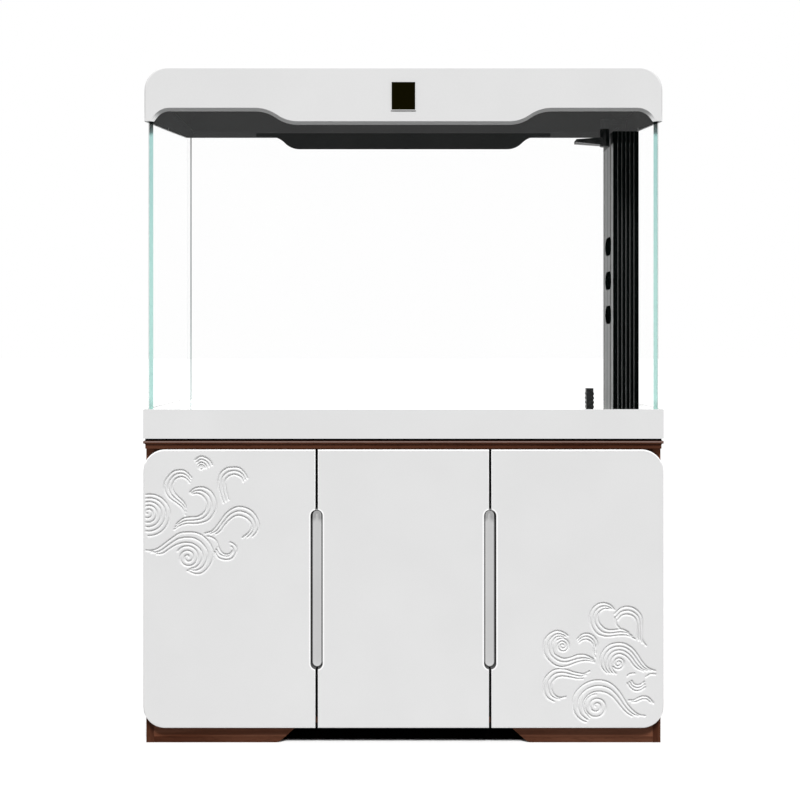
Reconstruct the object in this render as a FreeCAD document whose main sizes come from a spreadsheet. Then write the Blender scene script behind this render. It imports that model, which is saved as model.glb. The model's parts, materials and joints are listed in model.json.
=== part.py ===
import FreeCAD, Part
import math
import os

import Sketcher

# An aquarium on its cabinet: three hinged doors below, a glass tank in a skirt above and
# a flip-up hood on top.
# +X is the unit's right, -Y its front, +Z up. The origin is on the floor under the middle of the unit.
# Every length is in millimetres.

SIZES = {
    # the whole unit, in plan
    "unit_wide": 1200,
    "unit_deep": 460,
    # cabinet boards
    "carcass_inset": 2,
    "board": 18,
    "back_thick": 12,
    "rail_tall": 60,
    "cornice_thick": 18,
    "cornice_gap": 2,
    "lip_tall": 6,
    "lip_out": 4,
    "cove": 3.5,
    "mat_thick": 5.5,
    "mat_inset": 4,
    # base
    "base_tall": 60,
    "base_thick": 11,
    "arch_floor_half": 290,
    "arch_top_half": 238,
    "arch_tall": 46,
    "arch_round": 22,
    "toe_thick": 12,
    "toe_lift": 4,
    "toe_cover": 40,
    # doors
    "door_low": 41,
    "door_tall": 642,
    "door_thick": 20,
    "door_gap": 4,
    "door_back_gap": 2,
    "door_corner": 50,
    "door_edge": 3,
    # finger pulls
    "pull_wide": 28,
    "pull_tall": 368,
    "pull_low": 135.5,
    "pan_gap": 2,
    "pan_out": 8,
    "pan_rim": 2,
    "pan_floor": 2,
    # concealed hinges
    "hinge_from_end": 100,
    "hinge_edge": 7,
    "hinge_back": 12.5,
    "hinge_pin": 1.5,
    "hinge_run": 0.05,
    "pin_long": 15,
    "slot_clear": 0.2,
    "eye": 2.6,
    "arm_tall": 9,
    "arm_slot": 10,
    "arm_thick": 3,
    "leg_away": 14,
    "leg_end": 45,
    "plate_start": 10,
    "plate_tall": 46,
    "cup_radius": 17.5,
    "cup_edge": 20.5,
    "cup_deep": 16.5,
    "cup_wall": 1,
    # bumpers
    "bumper_half": 2,
    "bumper_thick": 1.7,
    "bumper_from_end": 24,
    # shelf
    "shelf_high": 300,
    "shelf_side_gap": 1,
    "shelf_front_gap": 24,
    "shelf_pin": 2.5,
    "shelf_pin_long": 9,
    "shelf_pin_in": 50,
    # ports in the back panel
    "port": 30,
    "port_below": 125,
    "grommet_wall": 3,
    "grommet_flange": 6,
    "grommet_out": 2,
    # tank
    "tank_clear": 4,
    "tank_clear_deep": 8,
    "tank_tall": 791.5,
    "glass": 10,
    "floor_glass": 12,
    "skirt_tall": 67,
    "skirt_wall": 5,
    "skirt_lip": 5,
    "skirt_gap": 0.3,
    # hood
    "hood_clear": 2.5,
    "hood_rise": 67.5,
    "hood_back_set": 2,
    "hood_face": 8,
    "hood_wall": 5,
    "hood_corner": 55,
    "hood_round": 6,
    "hood_leg_drop": 59,
    "hood_mid_drop": 66,
    "hood_raised_drop": 35,
    "hood_back_drop": 9,
    "leg_wide": 21.9,
    "leg_slope": 17.7,
    "wave_out": 317.5,
    "wave_in": 270.5,
    "wave_round": 85,
    "leg_round": 38,
    "brow": 6.5,
    "lid_gap": 5,
    # liner of the hood
    "liner_wall": 4,
    "liner_back_gap": 3,
    "liner_flange": 4,
    "liner_clear": 5,
    "liner_reach": 18,
    "liner_side_gap": 0.3,
    "ledge": 4,
    "hump_drop": 43,
    "hump_half": 400,
    "hump_shoulder": 59.4,
    "hump_slope": 35.2,
    "hump_round": 55,
    "hump_thick": 4,
    "rest_long": 180,
    # hinges of the lid
    "lid_hinge_place": 380,
    "lid_hinge_long": 60,
    "lid_knuckle": 2.4,
    "lid_pin": 1.2,
    "lid_pin_run": 0.05,
    "lid_leaf": 1.5,
    "lid_leaf_deep": 26,
    "lid_notch": 4.5,
    "knuckle_gap": 0.5,
    # lamp
    "lamp_end_gap": 21,
    "lamp_deep": 65,
    "lamp_tall": 18,
    "lamp_front": 120,
    "lamp_wall": 2,
    "lamp_bracket": 4,
    "lamp_bracket_wide": 50,
    # badge
    "badge_wide": 57.5,
    "badge_tall": 67,
    "badge_below": 69,
    # overflow column
    "column_wide": 63,
    "column_deep": 125,
    "column_side_gap": 2,
    "column_front": 72,
    "column_wall": 3,
    "column_below": 50,
    "rib_out": 2,
    "rib_wide": 2.2,
    "rib_pitch": 9.9,
    "slot_deep": 75,
    "slot_tall": 46,
    "slot_pitch": 86,
    "slot_top": 278,
    # plumbing
    "drain_from_back": 31,
    "riser_from_front": 37,
    "drain_radius": 16,
    "drain_wall": 2.5,
    "drain_below": 70,
    "riser_radius": 10,
    "riser_wall": 2,
    "riser_below": 22,
    "spout_away": 14,
    "spout_below": 59,
    "bulkhead_flange": 6,
    "bulkhead_down": 36,
    "bulkhead_rim": 8,
    "drain_barrel": 1,
    "riser_barrel": 2.5,
    "nut_thick": 12,
    "hole_clear": 0.5,
    # return nozzle
    "nozzle_radius": 12,
    "nozzle_run": 0.05,
    "nozzle_over": 20,
    "nozzle_drop": 22,
    "nozzle_reach": 73,
    "beak_wide": 20,
    "beak_tall": 20,
    "mouth_wide": 34,
    "mouth_tall": 7,
    "mouth_wall": 1.4,
    # strainer
    "strainer_away": 42,
    "strainer_y": 20,
    "strainer_half": 10,
    "strainer_tall": 93.5,
    "strainer_groove": 1.2,
    "strainer_foot": 16,
    "strainer_pitch": 11,
    # sump and what stands in it
    "sump_gap": 7,
    "sump_deep": 340,
    "sump_tall": 320,
    "sump_glass": 6,
    "baffle": 5,
    "baffle_one": 118,
    "baffle_two": 243,
    "baffle_tall": 240,
    "tray_gap": 2,
    "tray_low": 26,
    "tray_tall": 210,
    "tray_wall": 3,
    "media_tall": 150,
    "pump_from_wall": 58,
    "pump_wide": 90,
    "pump_deep": 80,
    "pump_tall": 76,
    "pump_round": 14,
    "return_below": 205,
    "drain_above": 96,
}


class Size:
    """A length together with the sheet expression that gives it."""

    def __init__(self, number, text):
        self.number = number
        self.text = text

    def __add__(self, other):
        other = as_size(other)
        return Size(self.number + other.number, f"({self.text} + {other.text})")

    def __sub__(self, other):
        other = as_size(other)
        return Size(self.number - other.number, f"({self.text} - {other.text})")

    def __mul__(self, other):
        other = as_size(other)
        return Size(self.number * other.number, f"({self.text} * {other.text})")

    def __truediv__(self, other):
        other = as_size(other)
        return Size(self.number / other.number, f"({self.text} / {other.text})")

    def __neg__(self):
        return Size(-self.number, f"(0 - {self.text})")

    def __radd__(self, other):
        return as_size(other) + self

    def __rsub__(self, other):
        return as_size(other) - self

    def __rmul__(self, other):
        return as_size(other) * self


def as_size(value):
    return value if isinstance(value, Size) else Size(float(value), f"{float(value):.6f}")


class Sheet:
    """Gives each named value of the sheet as a Size: s.board, s.door_gap and so on."""

    def __getattr__(self, name):
        return Size(float(SIZES[name]), f"Sizes.{name}")


doc = FreeCAD.newDocument("AquariumUnit")
sheet = doc.addObject("Spreadsheet::Sheet", "Sizes")
for row, (name, number) in enumerate(SIZES.items(), start=1):
    sheet.set(f"A{row}", name)
    sheet.set(f"B{row}", str(number))
    sheet.setAlias(f"B{row}", name)
doc.recompute()
s = Sheet()
NODES = []


# ---- helpers: bound features ----

def bind(thing, prop, size):
    thing.setExpression(prop, as_size(size).text)


def place(thing, x=0, y=0, z=0):
    for axis, size in zip("xyz", (x, y, z)):
        bind(thing, f"Placement.Base.{axis}", size)
    return thing


def node(thing, label):
    """Keep this object as the piece called label."""
    thing.Label = label
    NODES.append(thing)
    return thing


def block(name, x, y, z):
    """A square-edged solid between two planes on each axis."""
    solid = doc.addObject("Part::Box", name)
    for prop, (low, high) in zip(("Length", "Width", "Height"), (x, y, z)):
        bind(solid, prop, high - low)
    return place(solid, x[0], y[0], z[0])


TURN = {
    "x": FreeCAD.Rotation(FreeCAD.Vector(0, 1, 0), 90),
    "y": FreeCAD.Rotation(FreeCAD.Vector(1, 0, 0), -90),
    "z": FreeCAD.Rotation(),
}


def rod(name, axis, start, radius, length):
    """A cylinder that runs from start along +axis."""
    solid = doc.addObject("Part::Cylinder", name)
    solid.Placement.Rotation = TURN[axis]
    bind(solid, "Radius", radius)
    bind(solid, "Height", length)
    return place(solid, *start)


def fused(name, *pieces):
    joined = doc.addObject("Part::MultiFuse", name)
    joined.Shapes = list(pieces)
    joined.Refine = True
    return joined


def cut(name, base, *tools):
    result = doc.addObject("Part::Cut", name)
    result.Base = base
    result.Tool = tools[0] if len(tools) == 1 else fused(f"{name}_tools", *tools)
    return result


def group(name, *pieces):
    """Several separate solids that share one node."""
    together = doc.addObject("Part::Compound", name)
    together.Links = list(pieces)
    return together


def new_body(name):
    return doc.addObject("PartDesign::Body", name)


OFFSET_SIGN = {"XY": 1, "XZ": -1, "YZ": 1}


def new_sketch(body, plane, at):
    """A sketch on a plane of the body's own origin, moved along the plane's normal to the place `at`."""
    sketch = body.newObject("Sketcher::SketchObject", f"{body.Name}_sketch")
    support = next(f for f in body.Origin.OriginFeatures if f.Role == f"{plane}_Plane")
    sketch.AttachmentSupport = [(support, "")]
    sketch.MapMode = "FlatFace"
    bind(sketch, "AttachmentOffset.Base.z", as_size(at) * OFFSET_SIGN[plane])
    return sketch


def bind_point(sketch, geometry, end, point):
    for kind, size in zip(("DistanceX", "DistanceY"), point):
        size = as_size(size)
        index = sketch.addConstraint(Sketcher.Constraint(kind, -1, 1, geometry, end, size.number))
        sketch.setExpression(f"Constraints[{index}]", size.text)


def bind_radius(sketch, geometry, radius):
    radius = as_size(radius)
    index = sketch.addConstraint(Sketcher.Constraint("Radius", geometry, radius.number))
    sketch.setExpression(f"Constraints[{index}]", radius.text)


def outline(body, plane, at, points):
    """A closed outline of straight lines, with each corner bound to its sizes."""
    sketch = new_sketch(body, plane, at)
    corners = [FreeCAD.Vector(as_size(u).number, as_size(v).number, 0) for u, v in points]
    count = len(corners)
    for i in range(count):
        sketch.addGeometry(Part.LineSegment(corners[i], corners[(i + 1) % count]), False)
    for i in range(count):
        sketch.addConstraint(Sketcher.Constraint("Coincident", i, 2, (i + 1) % count, 1))
        bind_point(sketch, i, 1, points[i])
    return sketch


def rectangle(body, plane, at, low, high):
    return outline(body, plane, at, [low, (high[0], low[1]), high, (low[0], high[1])])


def capsule(body, plane, at, centre, wide, tall):
    """An upright slot outline with half-round ends."""
    sketch = new_sketch(body, plane, at)
    radius = as_size(wide) / 2
    half = (as_size(tall) - wide) / 2
    u, v, r, h = (as_size(size).number for size in (centre[0], centre[1], radius, half))
    normal = FreeCAD.Vector(0, 0, 1)
    top = Part.Circle(FreeCAD.Vector(u, v + h, 0), normal, r)
    bottom = Part.Circle(FreeCAD.Vector(u, v - h, 0), normal, r)
    sketch.addGeometry(Part.ArcOfCircle(top, 0, math.pi), False)
    left = (FreeCAD.Vector(u - r, v + h, 0), FreeCAD.Vector(u - r, v - h, 0))
    sketch.addGeometry(Part.LineSegment(*left), False)
    sketch.addGeometry(Part.ArcOfCircle(bottom, math.pi, 2 * math.pi), False)
    right = (FreeCAD.Vector(u + r, v - h, 0), FreeCAD.Vector(u + r, v + h, 0))
    sketch.addGeometry(Part.LineSegment(*right), False)
    for first, second in ((0, 1), (1, 2), (2, 3), (3, 0)):
        sketch.addConstraint(Sketcher.Constraint("Tangent", first, 2, second, 1))
    bind_point(sketch, 0, 3, (centre[0], centre[1] + half))
    bind_point(sketch, 2, 3, (centre[0], centre[1] - half))
    bind_radius(sketch, 0, radius)
    bind_radius(sketch, 2, radius)
    return sketch


def circle(body, plane, at, centre, radius):
    sketch = new_sketch(body, plane, at)
    middle = FreeCAD.Vector(as_size(centre[0]).number, as_size(centre[1]).number, 0)
    sketch.addGeometry(Part.Circle(middle, FreeCAD.Vector(0, 0, 1), as_size(radius).number), False)
    bind_point(sketch, 0, 3, centre)
    bind_radius(sketch, 0, radius)
    return sketch


def extrude(kind, body, sketch, length, backwards):
    feature = body.newObject(f"PartDesign::{kind}", f"{body.Name}_{kind.lower()}")
    feature.Profile = sketch
    feature.Reversed = backwards
    bind(feature, "Length", length)
    doc.recompute()
    return feature


def pad(body, sketch, length, backwards=False):
    """Add material: +Z from an XY sketch, -Y from an XZ sketch, +X from a YZ sketch."""
    return extrude("Pad", body, sketch, length, backwards)


def pocket(body, sketch, length, backwards=False):
    """Remove material: the other way from pad."""
    before = body.Tip.Shape.Volume
    feature = extrude("Pocket", body, sketch, length, backwards)
    if not feature.Shape.Volume < before - 1e-3:
        raise ValueError(f"{body.Name}: a pocket cut nothing")
    return feature


def dressed(kind, body, prop, size, wanted):
    """Fillet or chamfer the edges of the body's last feature that `wanted` picks."""
    base = body.Tip
    names = [f"Edge{i}" for i, edge in enumerate(base.Shape.Edges, start=1) if wanted(edge)]
    if not names:
        raise ValueError(f"{body.Name}: no edge to dress")
    feature = body.newObject(f"PartDesign::{kind}", f"{body.Name}_{kind.lower()}")
    feature.Base = (base, names)
    bind(feature, prop, size)
    doc.recompute()
    return feature


def rounded(body, radius, wanted):
    return dressed("Fillet", body, "Radius", radius, wanted)


def near(one, two):
    return abs(one - as_size(two).number) < 0.01


def along(axis, *spots):
    """Picks straight edges that run along an axis through one of the spots, given as the other two places."""
    run = "xyz".index(axis)
    others = [i for i in range(3) if i != run]

    def wanted(edge):
        if len(edge.Vertexes) != 2:
            return False
        a, b = (vertex.Point for vertex in edge.Vertexes)
        if any(abs(a[i] - b[i]) > 0.01 for i in others):
            return False
        return any(all(near(a[i], place) for i, place in zip(others, spot)) for spot in spots)

    return wanted


def in_plane(axis, place):
    """Picks the edges that lie in the plane where this axis has this place."""
    index = "xyz".index(axis)

    def wanted(edge):
        middle = edge.valueAt((edge.FirstParameter + edge.LastParameter) / 2)
        points = [vertex.Point for vertex in edge.Vertexes] + [middle]
        return all(near(point[index], place) for point in points)

    return wanted


# ---- planes that several pieces share ----

half_wide = s.unit_wide / 2
front = -s.unit_deep / 2
back = s.unit_deep / 2
carcass_front = front + s.door_thick + s.door_back_gap
carcass_back = back - s.carcass_inset
carcass_half = half_wide - s.carcass_inset
inner_half = carcass_half - s.board
inner_back = carcass_back - s.back_thick
door_top = s.door_low + s.door_tall
carcass_top = door_top + s.cornice_gap
floor_top = s.base_tall + s.board
partition_at = s.unit_wide / 6
bay_side = partition_at - s.board / 2
cornice_top = carcass_top + s.cornice_thick
mat_top = cornice_top + s.mat_thick
tank_half = half_wide - s.skirt_wall - s.tank_clear
tank_back = back - s.skirt_wall - s.tank_clear_deep
tank_front = -tank_back
water_half = tank_half - s.glass
water_front = tank_front + s.glass
water_back = tank_back - s.glass
tank_floor = mat_top + s.floor_glass
glass_top = mat_top + s.tank_tall
hood_top = glass_top + s.hood_rise
column_right = water_half - s.column_side_gap
column_left = column_right - s.column_wide
column_back = s.column_deep - s.column_front
column_tall = s.tank_tall - s.floor_glass - s.column_below
pipe_x = (column_left + column_right) / 2
drain_y = column_back - s.drain_from_back
riser_y = s.riser_from_front - s.column_front
pull_centre = s.door_low + s.pull_low + s.pull_tall / 2
port_high = carcass_top - s.port_below
port_side = (bay_side + s.board + inner_half) / 2
sump_left = bay_side + s.board + s.sump_gap
sump_right = inner_half - s.sump_gap
sump_half = s.sump_deep / 2
sump_floor = floor_top + s.sump_glass
pump_x = sump_left + s.sump_glass + s.pump_from_wall
SIDES = (("left", -1), ("right", 1))


# ---- cabinet ----

def span(side, low, high):
    """A stretch measured outwards from the middle, put on the left (-1) or the right (+1)."""
    return (low, high) if side > 0 else (-high, -low)


def make_carcass():
    for name, side in SIDES:
        panel = block(f"{name}_side", span(side, inner_half, carcass_half), (carcass_front, carcass_back),
                      (as_size(0), carcass_top))
        node(panel, f"{name}_side_panel")
        wall = block(f"{name}_wall", span(side, bay_side, bay_side + s.board), (carcass_front, inner_back),
                     (floor_top, carcass_top))
        node(wall, f"{name}_partition")
    bottom = block("bottom", (-inner_half, inner_half), (carcass_front, inner_back), (s.base_tall, floor_top))
    node(bottom, "floor_board")


def make_rails():
    """Front and back rails under the cornice, one pair in each of the three bays."""
    bays = ((-inner_half, -bay_side - s.board), (-bay_side, bay_side), (bay_side + s.board, inner_half))
    rails = []
    for number, bay in enumerate(bays):
        for end, y in (("front", (carcass_front, carcass_front + s.board)),
                       ("back", (inner_back - s.board, inner_back))):
            rails.append(block(f"{end}_rail_{number}", bay, y, (carcass_top - s.rail_tall, carcass_top)))
    node(group("rails", *rails), "top_rails")


def make_cornice():
    """A board with a plain upper lip and a cove under it, cut through where the pipes pass."""
    body = new_body("cornice")
    under = (half_wide - s.lip_out, front + s.lip_out)
    pad(body, rectangle(body, "XY", carcass_top, (-under[0], under[1]), (under[0], back)), s.cornice_thick)
    lip = rectangle(body, "XY", cornice_top - s.lip_tall, (-half_wide, front), (half_wide, back))
    pad(body, lip, s.lip_tall)
    lip_low = cornice_top - s.lip_tall
    rounded(body, s.cove, along("x", (under[1], lip_low)))
    rounded(body, s.cove, along("y", (-under[0], lip_low), (under[0], lip_low)))
    pocket(body, pipe_port(body, cornice_top), s.cornice_thick)
    node(body, "cornice_board")


def pipe_port(body, at):
    """The outline of the port that the two pipes pass through, inside the column's walls."""
    return rectangle(body, "XY", at, (column_left + s.column_wall, -s.column_front + s.column_wall),
                     (column_right - s.column_wall, column_back))


def make_mat():
    body = new_body("mat")
    edge = half_wide - s.mat_inset
    sheet_edge = (edge, back - s.mat_inset)
    pad(body, rectangle(body, "XY", cornice_top, (-sheet_edge[0], -sheet_edge[1]), sheet_edge), s.mat_thick)
    pocket(body, pipe_port(body, mat_top), s.mat_thick)
    node(body, "levelling_mat")


def make_back_panel():
    panel = block("back", (-inner_half, inner_half), (inner_back, carcass_back), (as_size(0), carcass_top))
    holes = [rod(f"port_{name}", "y", (x, inner_back, port_high), s.port, s.back_thick)
             for name, x in (("middle", as_size(0)), ("right", port_side))]
    node(cut("back_with_ports", panel, *holes), "back_panel")


def make_grommets():
    """A lipped ring in each port, pushed in from behind."""
    rings = []
    for name, x in (("middle", as_size(0)), ("right", port_side)):
        sleeve = rod(f"sleeve_{name}", "y", (x, inner_back, port_high), s.port, s.back_thick)
        inner_lip = rod(f"lip_{name}", "y", (x, inner_back - s.grommet_out, port_high),
                        s.port + s.grommet_flange, s.grommet_out)
        bore = rod(f"grommet_bore_{name}", "y", (x, inner_back - s.grommet_out, port_high),
                   s.port - s.grommet_wall, s.back_thick + s.grommet_out)
        rings.append(cut(f"grommet_{name}", fused(f"ring_{name}", sleeve, inner_lip), bore))
    node(group("grommets", *rings), "port_grommets")


def make_base():
    """The front base board with its arched cut-out, the dark board behind the arch, and the bearers."""
    body = new_body("base")
    arch = [(-inner_half, 0), (-s.arch_floor_half, 0), (-s.arch_top_half, s.arch_tall),
            (s.arch_top_half, s.arch_tall), (s.arch_floor_half, 0), (inner_half, 0),
            (inner_half, s.base_tall), (-inner_half, s.base_tall)]
    pad(body, outline(body, "XZ", carcass_front + s.base_thick, arch), s.base_thick)
    rounded(body, s.arch_round, along("y", (-s.arch_top_half, s.arch_tall), (s.arch_top_half, s.arch_tall)))
    rounded(body, s.arch_round, along("y", (-s.arch_floor_half, 0), (s.arch_floor_half, 0)))
    node(body, "base_board")

    toe_front = carcass_front + s.base_thick
    toe_half = s.arch_floor_half + s.toe_cover
    toe = block("toe", (-toe_half, toe_half), (toe_front, toe_front + s.toe_thick), (s.toe_lift, s.base_tall))
    node(toe, "toe_kick")
    deep = (toe_front + s.toe_thick, inner_back)
    bearers = [block(f"bearer_{name}", span(side, bay_side, bay_side + s.board), deep,
                     (as_size(0), s.base_tall)) for name, side in SIDES]
    node(group("bearers", *bearers), "base_bearers")


def make_shelf():
    left = -inner_half + s.shelf_side_gap
    right = -bay_side - s.board - s.shelf_side_gap
    low = floor_top + s.shelf_high
    near_front = carcass_front + s.shelf_front_gap
    node(block("shelf", (left, right), (near_front, inner_back), (low, low + s.board)), "shelf_board")
    pins = []
    for end, y in (("front", near_front + s.shelf_pin_in), ("back", inner_back - s.shelf_pin_in)):
        height = low - s.shelf_pin
        pins.append(rod(f"pin_left_{end}", "x", (-inner_half, y, height), s.shelf_pin,
                        s.shelf_pin_long))
        pins.append(rod(f"pin_right_{end}", "x", (-bay_side - s.board - s.shelf_pin_long, y, height),
                        s.shelf_pin, s.shelf_pin_long))
    node(group("pins", *pins), "shelf_pins")


def make_bumpers():
    """Soft stops for the free edges of the doors, at the top and the bottom of their strikes."""
    stops = []
    levels = (("low", floor_top + s.bumper_from_end), ("high", carcass_top - s.bumper_from_end))
    strikes = (("left", -partition_at - s.door_gap - s.bumper_half),
               ("middle", partition_at - s.door_gap), ("right", partition_at + s.door_gap + s.bumper_half))
    for level, z in levels:
        for name, x in strikes:
            stops.append(block(f"stop_{name}_{level}", (x - s.bumper_half, x + s.bumper_half),
                               (carcass_front - s.bumper_thick, carcass_front),
                               (z - s.bumper_half, z + s.bumper_half)))
    node(group("stops", *stops), "door_bumpers")


def make_pull_pans():
    """The grey dished strips that the doors' notches close round."""
    wide = s.pull_wide - 2 * s.pan_gap
    tall = s.pull_tall - 2 * s.pan_gap
    for name, side in SIDES:
        body = new_body(f"{name}_pan")
        centre = (partition_at * side, pull_centre)
        pad(body, capsule(body, "XZ", carcass_front, centre, wide, tall), s.pan_out)
        hollow = capsule(body, "XZ", carcass_front - s.pan_out, centre,
                         wide - 2 * s.pan_rim, tall - 2 * s.pan_rim)
        pocket(body, hollow, s.pan_out - s.pan_floor)
        node(body, f"{name}_pull_pan")


# ---- doors and their concealed hinges ----

DOORS = {
    "left": (-half_wide, -partition_at - s.door_gap / 2, -1),
    "middle": (-partition_at + s.door_gap / 2, partition_at - s.door_gap / 2, -1),
    "right": (partition_at + s.door_gap / 2, half_wide, 1),
}
door_back = front + s.door_thick
hinge_y = door_back - s.hinge_back
HINGE_LEVELS = (("low", s.door_low + s.hinge_from_end), ("high", door_top - s.hinge_from_end))


def hinge_edge_of(name):
    """The x place of a door's hinge edge, and the direction from it into the door."""
    left, right, side = DOORS[name]
    return (left, 1) if side < 0 else (right, -1)


def make_door(name):
    left, right, _ = DOORS[name]
    body = new_body(f"{name}_panel")
    face = rectangle(body, "XZ", door_back, (left, s.door_low), (right, door_top))
    pad(body, face, s.door_thick)
    if name != "middle":
        outer = left if name == "left" else right
        rounded(body, s.door_corner, along("y", (outer, s.door_low), (outer, door_top)))
    rounded(body, s.door_edge, in_plane("y", front))
    notches = []
    for side in (-1, 1):
        gap = partition_at * side
        if left.number - s.door_gap.number < gap.number < right.number + s.door_gap.number:
            notch = new_body(f"{name}_notch")
            shape = capsule(notch, "XZ", door_back, (gap, pull_centre), s.pull_wide, s.pull_tall)
            pad(notch, shape, s.door_thick)
            notches.append(notch)
    edge, inward = hinge_edge_of(name)
    cups = [rod(f"{name}_cup_hole_{level}", "y", (edge + s.cup_edge * inward, door_back - s.cup_deep, z),
                s.cup_radius, s.cup_deep) for level, z in HINGE_LEVELS]
    node(cut(f"{name}_leaf", body, *notches, *cups), f"{name}_door_panel")


def make_hinges(name):
    """Cups let into the door, a pin across each cup, and the arm that the pin swings on."""
    edge, inward = hinge_edge_of(name)
    pin_x = edge + s.hinge_edge * inward

    def reach(low, high):
        """A stretch measured from the pin into the door."""
        return (pin_x + low, pin_x + high) if inward > 0 else (pin_x - high, pin_x - low)

    cups, pins, arms = [], [], []
    pin_half = s.pin_long / 2
    for level, z in HINGE_LEVELS:
        tag = f"{name}_{level}"
        disc = rod(f"disc_{tag}", "y", (edge + s.cup_edge * inward, door_back - s.cup_deep, z), s.cup_radius,
                   s.cup_deep)
        slot = block(f"slot_{tag}", reach(-s.eye - s.slot_clear, s.leg_away + s.arm_thick * 2),
                     (door_back - s.cup_deep + s.cup_wall, door_back),
                     (z - s.arm_slot / 2, z + s.arm_slot / 2))
        bore = rod(f"bore_{tag}", "z", (pin_x, hinge_y, z - pin_half), s.hinge_pin, 2 * pin_half)
        cups.append(cut(f"cup_{tag}", disc, slot, bore))
        pins.append(rod(f"pin_{tag}", "z", (pin_x, hinge_y, z - pin_half), s.hinge_pin, 2 * pin_half))
        arms.append(hinge_arm(name, tag, z, pin_x, reach))
    node(group(f"{name}_cups", *cups), f"{name}_hinge_cups")
    node(group(f"{name}_pins", *pins), f"{name}_hinge_pins")
    node(group(f"{name}_arms", *arms), f"{name}_hinge_arms")


def hinge_arm(name, tag, z, pin_x, reach):
    """An eye on the pin, a crank out of the cup, and a foot on the board beside it."""
    tall = (z - s.arm_tall / 2, z + s.arm_tall / 2)
    foot = (z - s.plate_tall / 2, z + s.plate_tall / 2)
    leg_out = s.leg_away + s.arm_thick
    foot_start = carcass_front + s.plate_start
    foot_end = carcass_front + s.leg_end
    eye = rod(f"eye_{tag}", "z", (pin_x, hinge_y, tall[0]), s.eye, s.arm_tall)
    across = block(f"across_{tag}", reach(as_size(0), leg_out),
                   (hinge_y - s.arm_thick / 2, hinge_y + s.arm_thick / 2), tall)
    parts = [eye, across]
    if name == "middle":
        crank = carcass_front + s.arm_thick
        board_face = bay_side - (-DOORS[name][0] - s.hinge_edge)
        parts.append(block(f"leg_{tag}", reach(s.leg_away, leg_out), (hinge_y, crank + s.arm_thick), tall))
        parts.append(block(f"crank_{tag}", reach(-board_face, leg_out), (crank, crank + s.arm_thick), tall))
        parts.append(block(f"foot_{tag}", reach(-board_face, s.arm_thick - board_face),
                           (crank, foot_end), foot))
    else:
        board_face = s.board + s.carcass_inset - s.hinge_edge
        parts.append(block(f"leg_{tag}", reach(s.leg_away, leg_out), (hinge_y, foot_end), tall))
        parts.append(block(f"foot_{tag}", reach(board_face, leg_out), (foot_start, foot_end), foot))
    bore = rod(f"eye_bore_{tag}", "z", (pin_x, hinge_y, tall[0]), s.hinge_pin + s.hinge_run, s.arm_tall)
    return cut(f"arm_{tag}", fused(f"arm_solid_{tag}", *parts), bore)


# ---- tank ----

def make_tank():
    floor = block("floor_pane", (-tank_half, tank_half), (tank_front, tank_back), (mat_top, tank_floor))
    holes = [rod(f"pane_hole_{name}", "z", (pipe_x, y, mat_top), radius + s.hole_clear, s.floor_glass)
             for name, y, radius in PIPES]
    node(cut("floor_pane_drilled", floor, *holes), "bottom_pane")
    up = (tank_floor, glass_top)
    node(block("pane_f", (-tank_half, tank_half), (tank_front, water_front), up), "front_pane")
    node(block("pane_b", (-tank_half, tank_half), (water_back, tank_back), up), "back_pane")
    for name, side in SIDES:
        pane = block(f"pane_{name}", span(side, water_half, tank_half), (water_front, water_back), up)
        node(pane, f"{name}_pane")


def make_skirt():
    """A ring round the foot of the tank: a thin wall with a lip that reaches in to the glass."""
    body = new_body("skirt")
    pad(body, rectangle(body, "XY", mat_top, (-half_wide, front), (half_wide, back)), s.skirt_tall)
    top = mat_top + s.skirt_tall
    wall = (half_wide - s.skirt_wall, back - s.skirt_wall)
    fit = (tank_half + s.skirt_gap, tank_back + s.skirt_gap)
    pocket(body, rectangle(body, "XY", top, (-fit[0], -fit[1]), fit), s.skirt_tall)
    inside = rectangle(body, "XY", top - s.skirt_lip, (-wall[0], -wall[1]), wall)
    pocket(body, inside, s.skirt_tall - s.skirt_lip)
    node(body, "tank_skirt")


# ---- overflow column and plumbing ----

# The pipe sweep's corner setting for square-cut mitres.
MITRE = 1
PIPES = (
    ("drain", drain_y, s.drain_radius + s.drain_barrel),
    ("riser", riser_y, s.riser_radius + s.riser_barrel),
)


def make_column():
    """A square tube with upright ribs on its front and three oval inlets in its left wall."""
    body = new_body("column")
    wall_front = -s.column_front + s.rib_out
    pad(body, rectangle(body, "XY", tank_floor, (column_left, wall_front), (column_right, column_back)),
        column_tall)
    inside = rectangle(body, "XY", tank_floor + column_tall,
                       (column_left + s.column_wall, wall_front + s.column_wall),
                       (column_right - s.column_wall, column_back - s.column_wall))
    pocket(body, inside, column_tall)
    middle = (column_left + column_right) / 2
    for number in range(-2, 3):
        centre = middle + s.rib_pitch * number
        rib = rectangle(body, "XY", tank_floor, (centre - s.rib_wide / 2, -s.column_front),
                        (centre + s.rib_wide / 2, wall_front + s.column_wall / 2))
        pad(body, rib, column_tall)
    tools = []
    for number in range(3):
        z = tank_floor + column_tall - s.slot_top - s.slot_pitch * number
        tools.append(oval_slot(number, z))
    node(cut("column_slotted", body, *tools), "overflow_column")


def oval_slot(number, z):
    """A lying oval through the left wall: a block between two rods."""
    y = (column_back - s.column_front) / 2
    half = (s.slot_deep - s.slot_tall) / 2
    x = column_left - s.column_wall / 2
    through = s.column_wall * 2
    radius = s.slot_tall / 2
    flat = block(f"slot_{number}", (x, x + through), (y - half, y + half), (z - radius, z + radius))
    ends = [rod(f"slot_{number}_{end}", "x", (x, y + half * end, z), radius, through)
            for end in (-1, 1)]
    return fused(f"slot_{number}_oval", flat, *ends)


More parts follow.
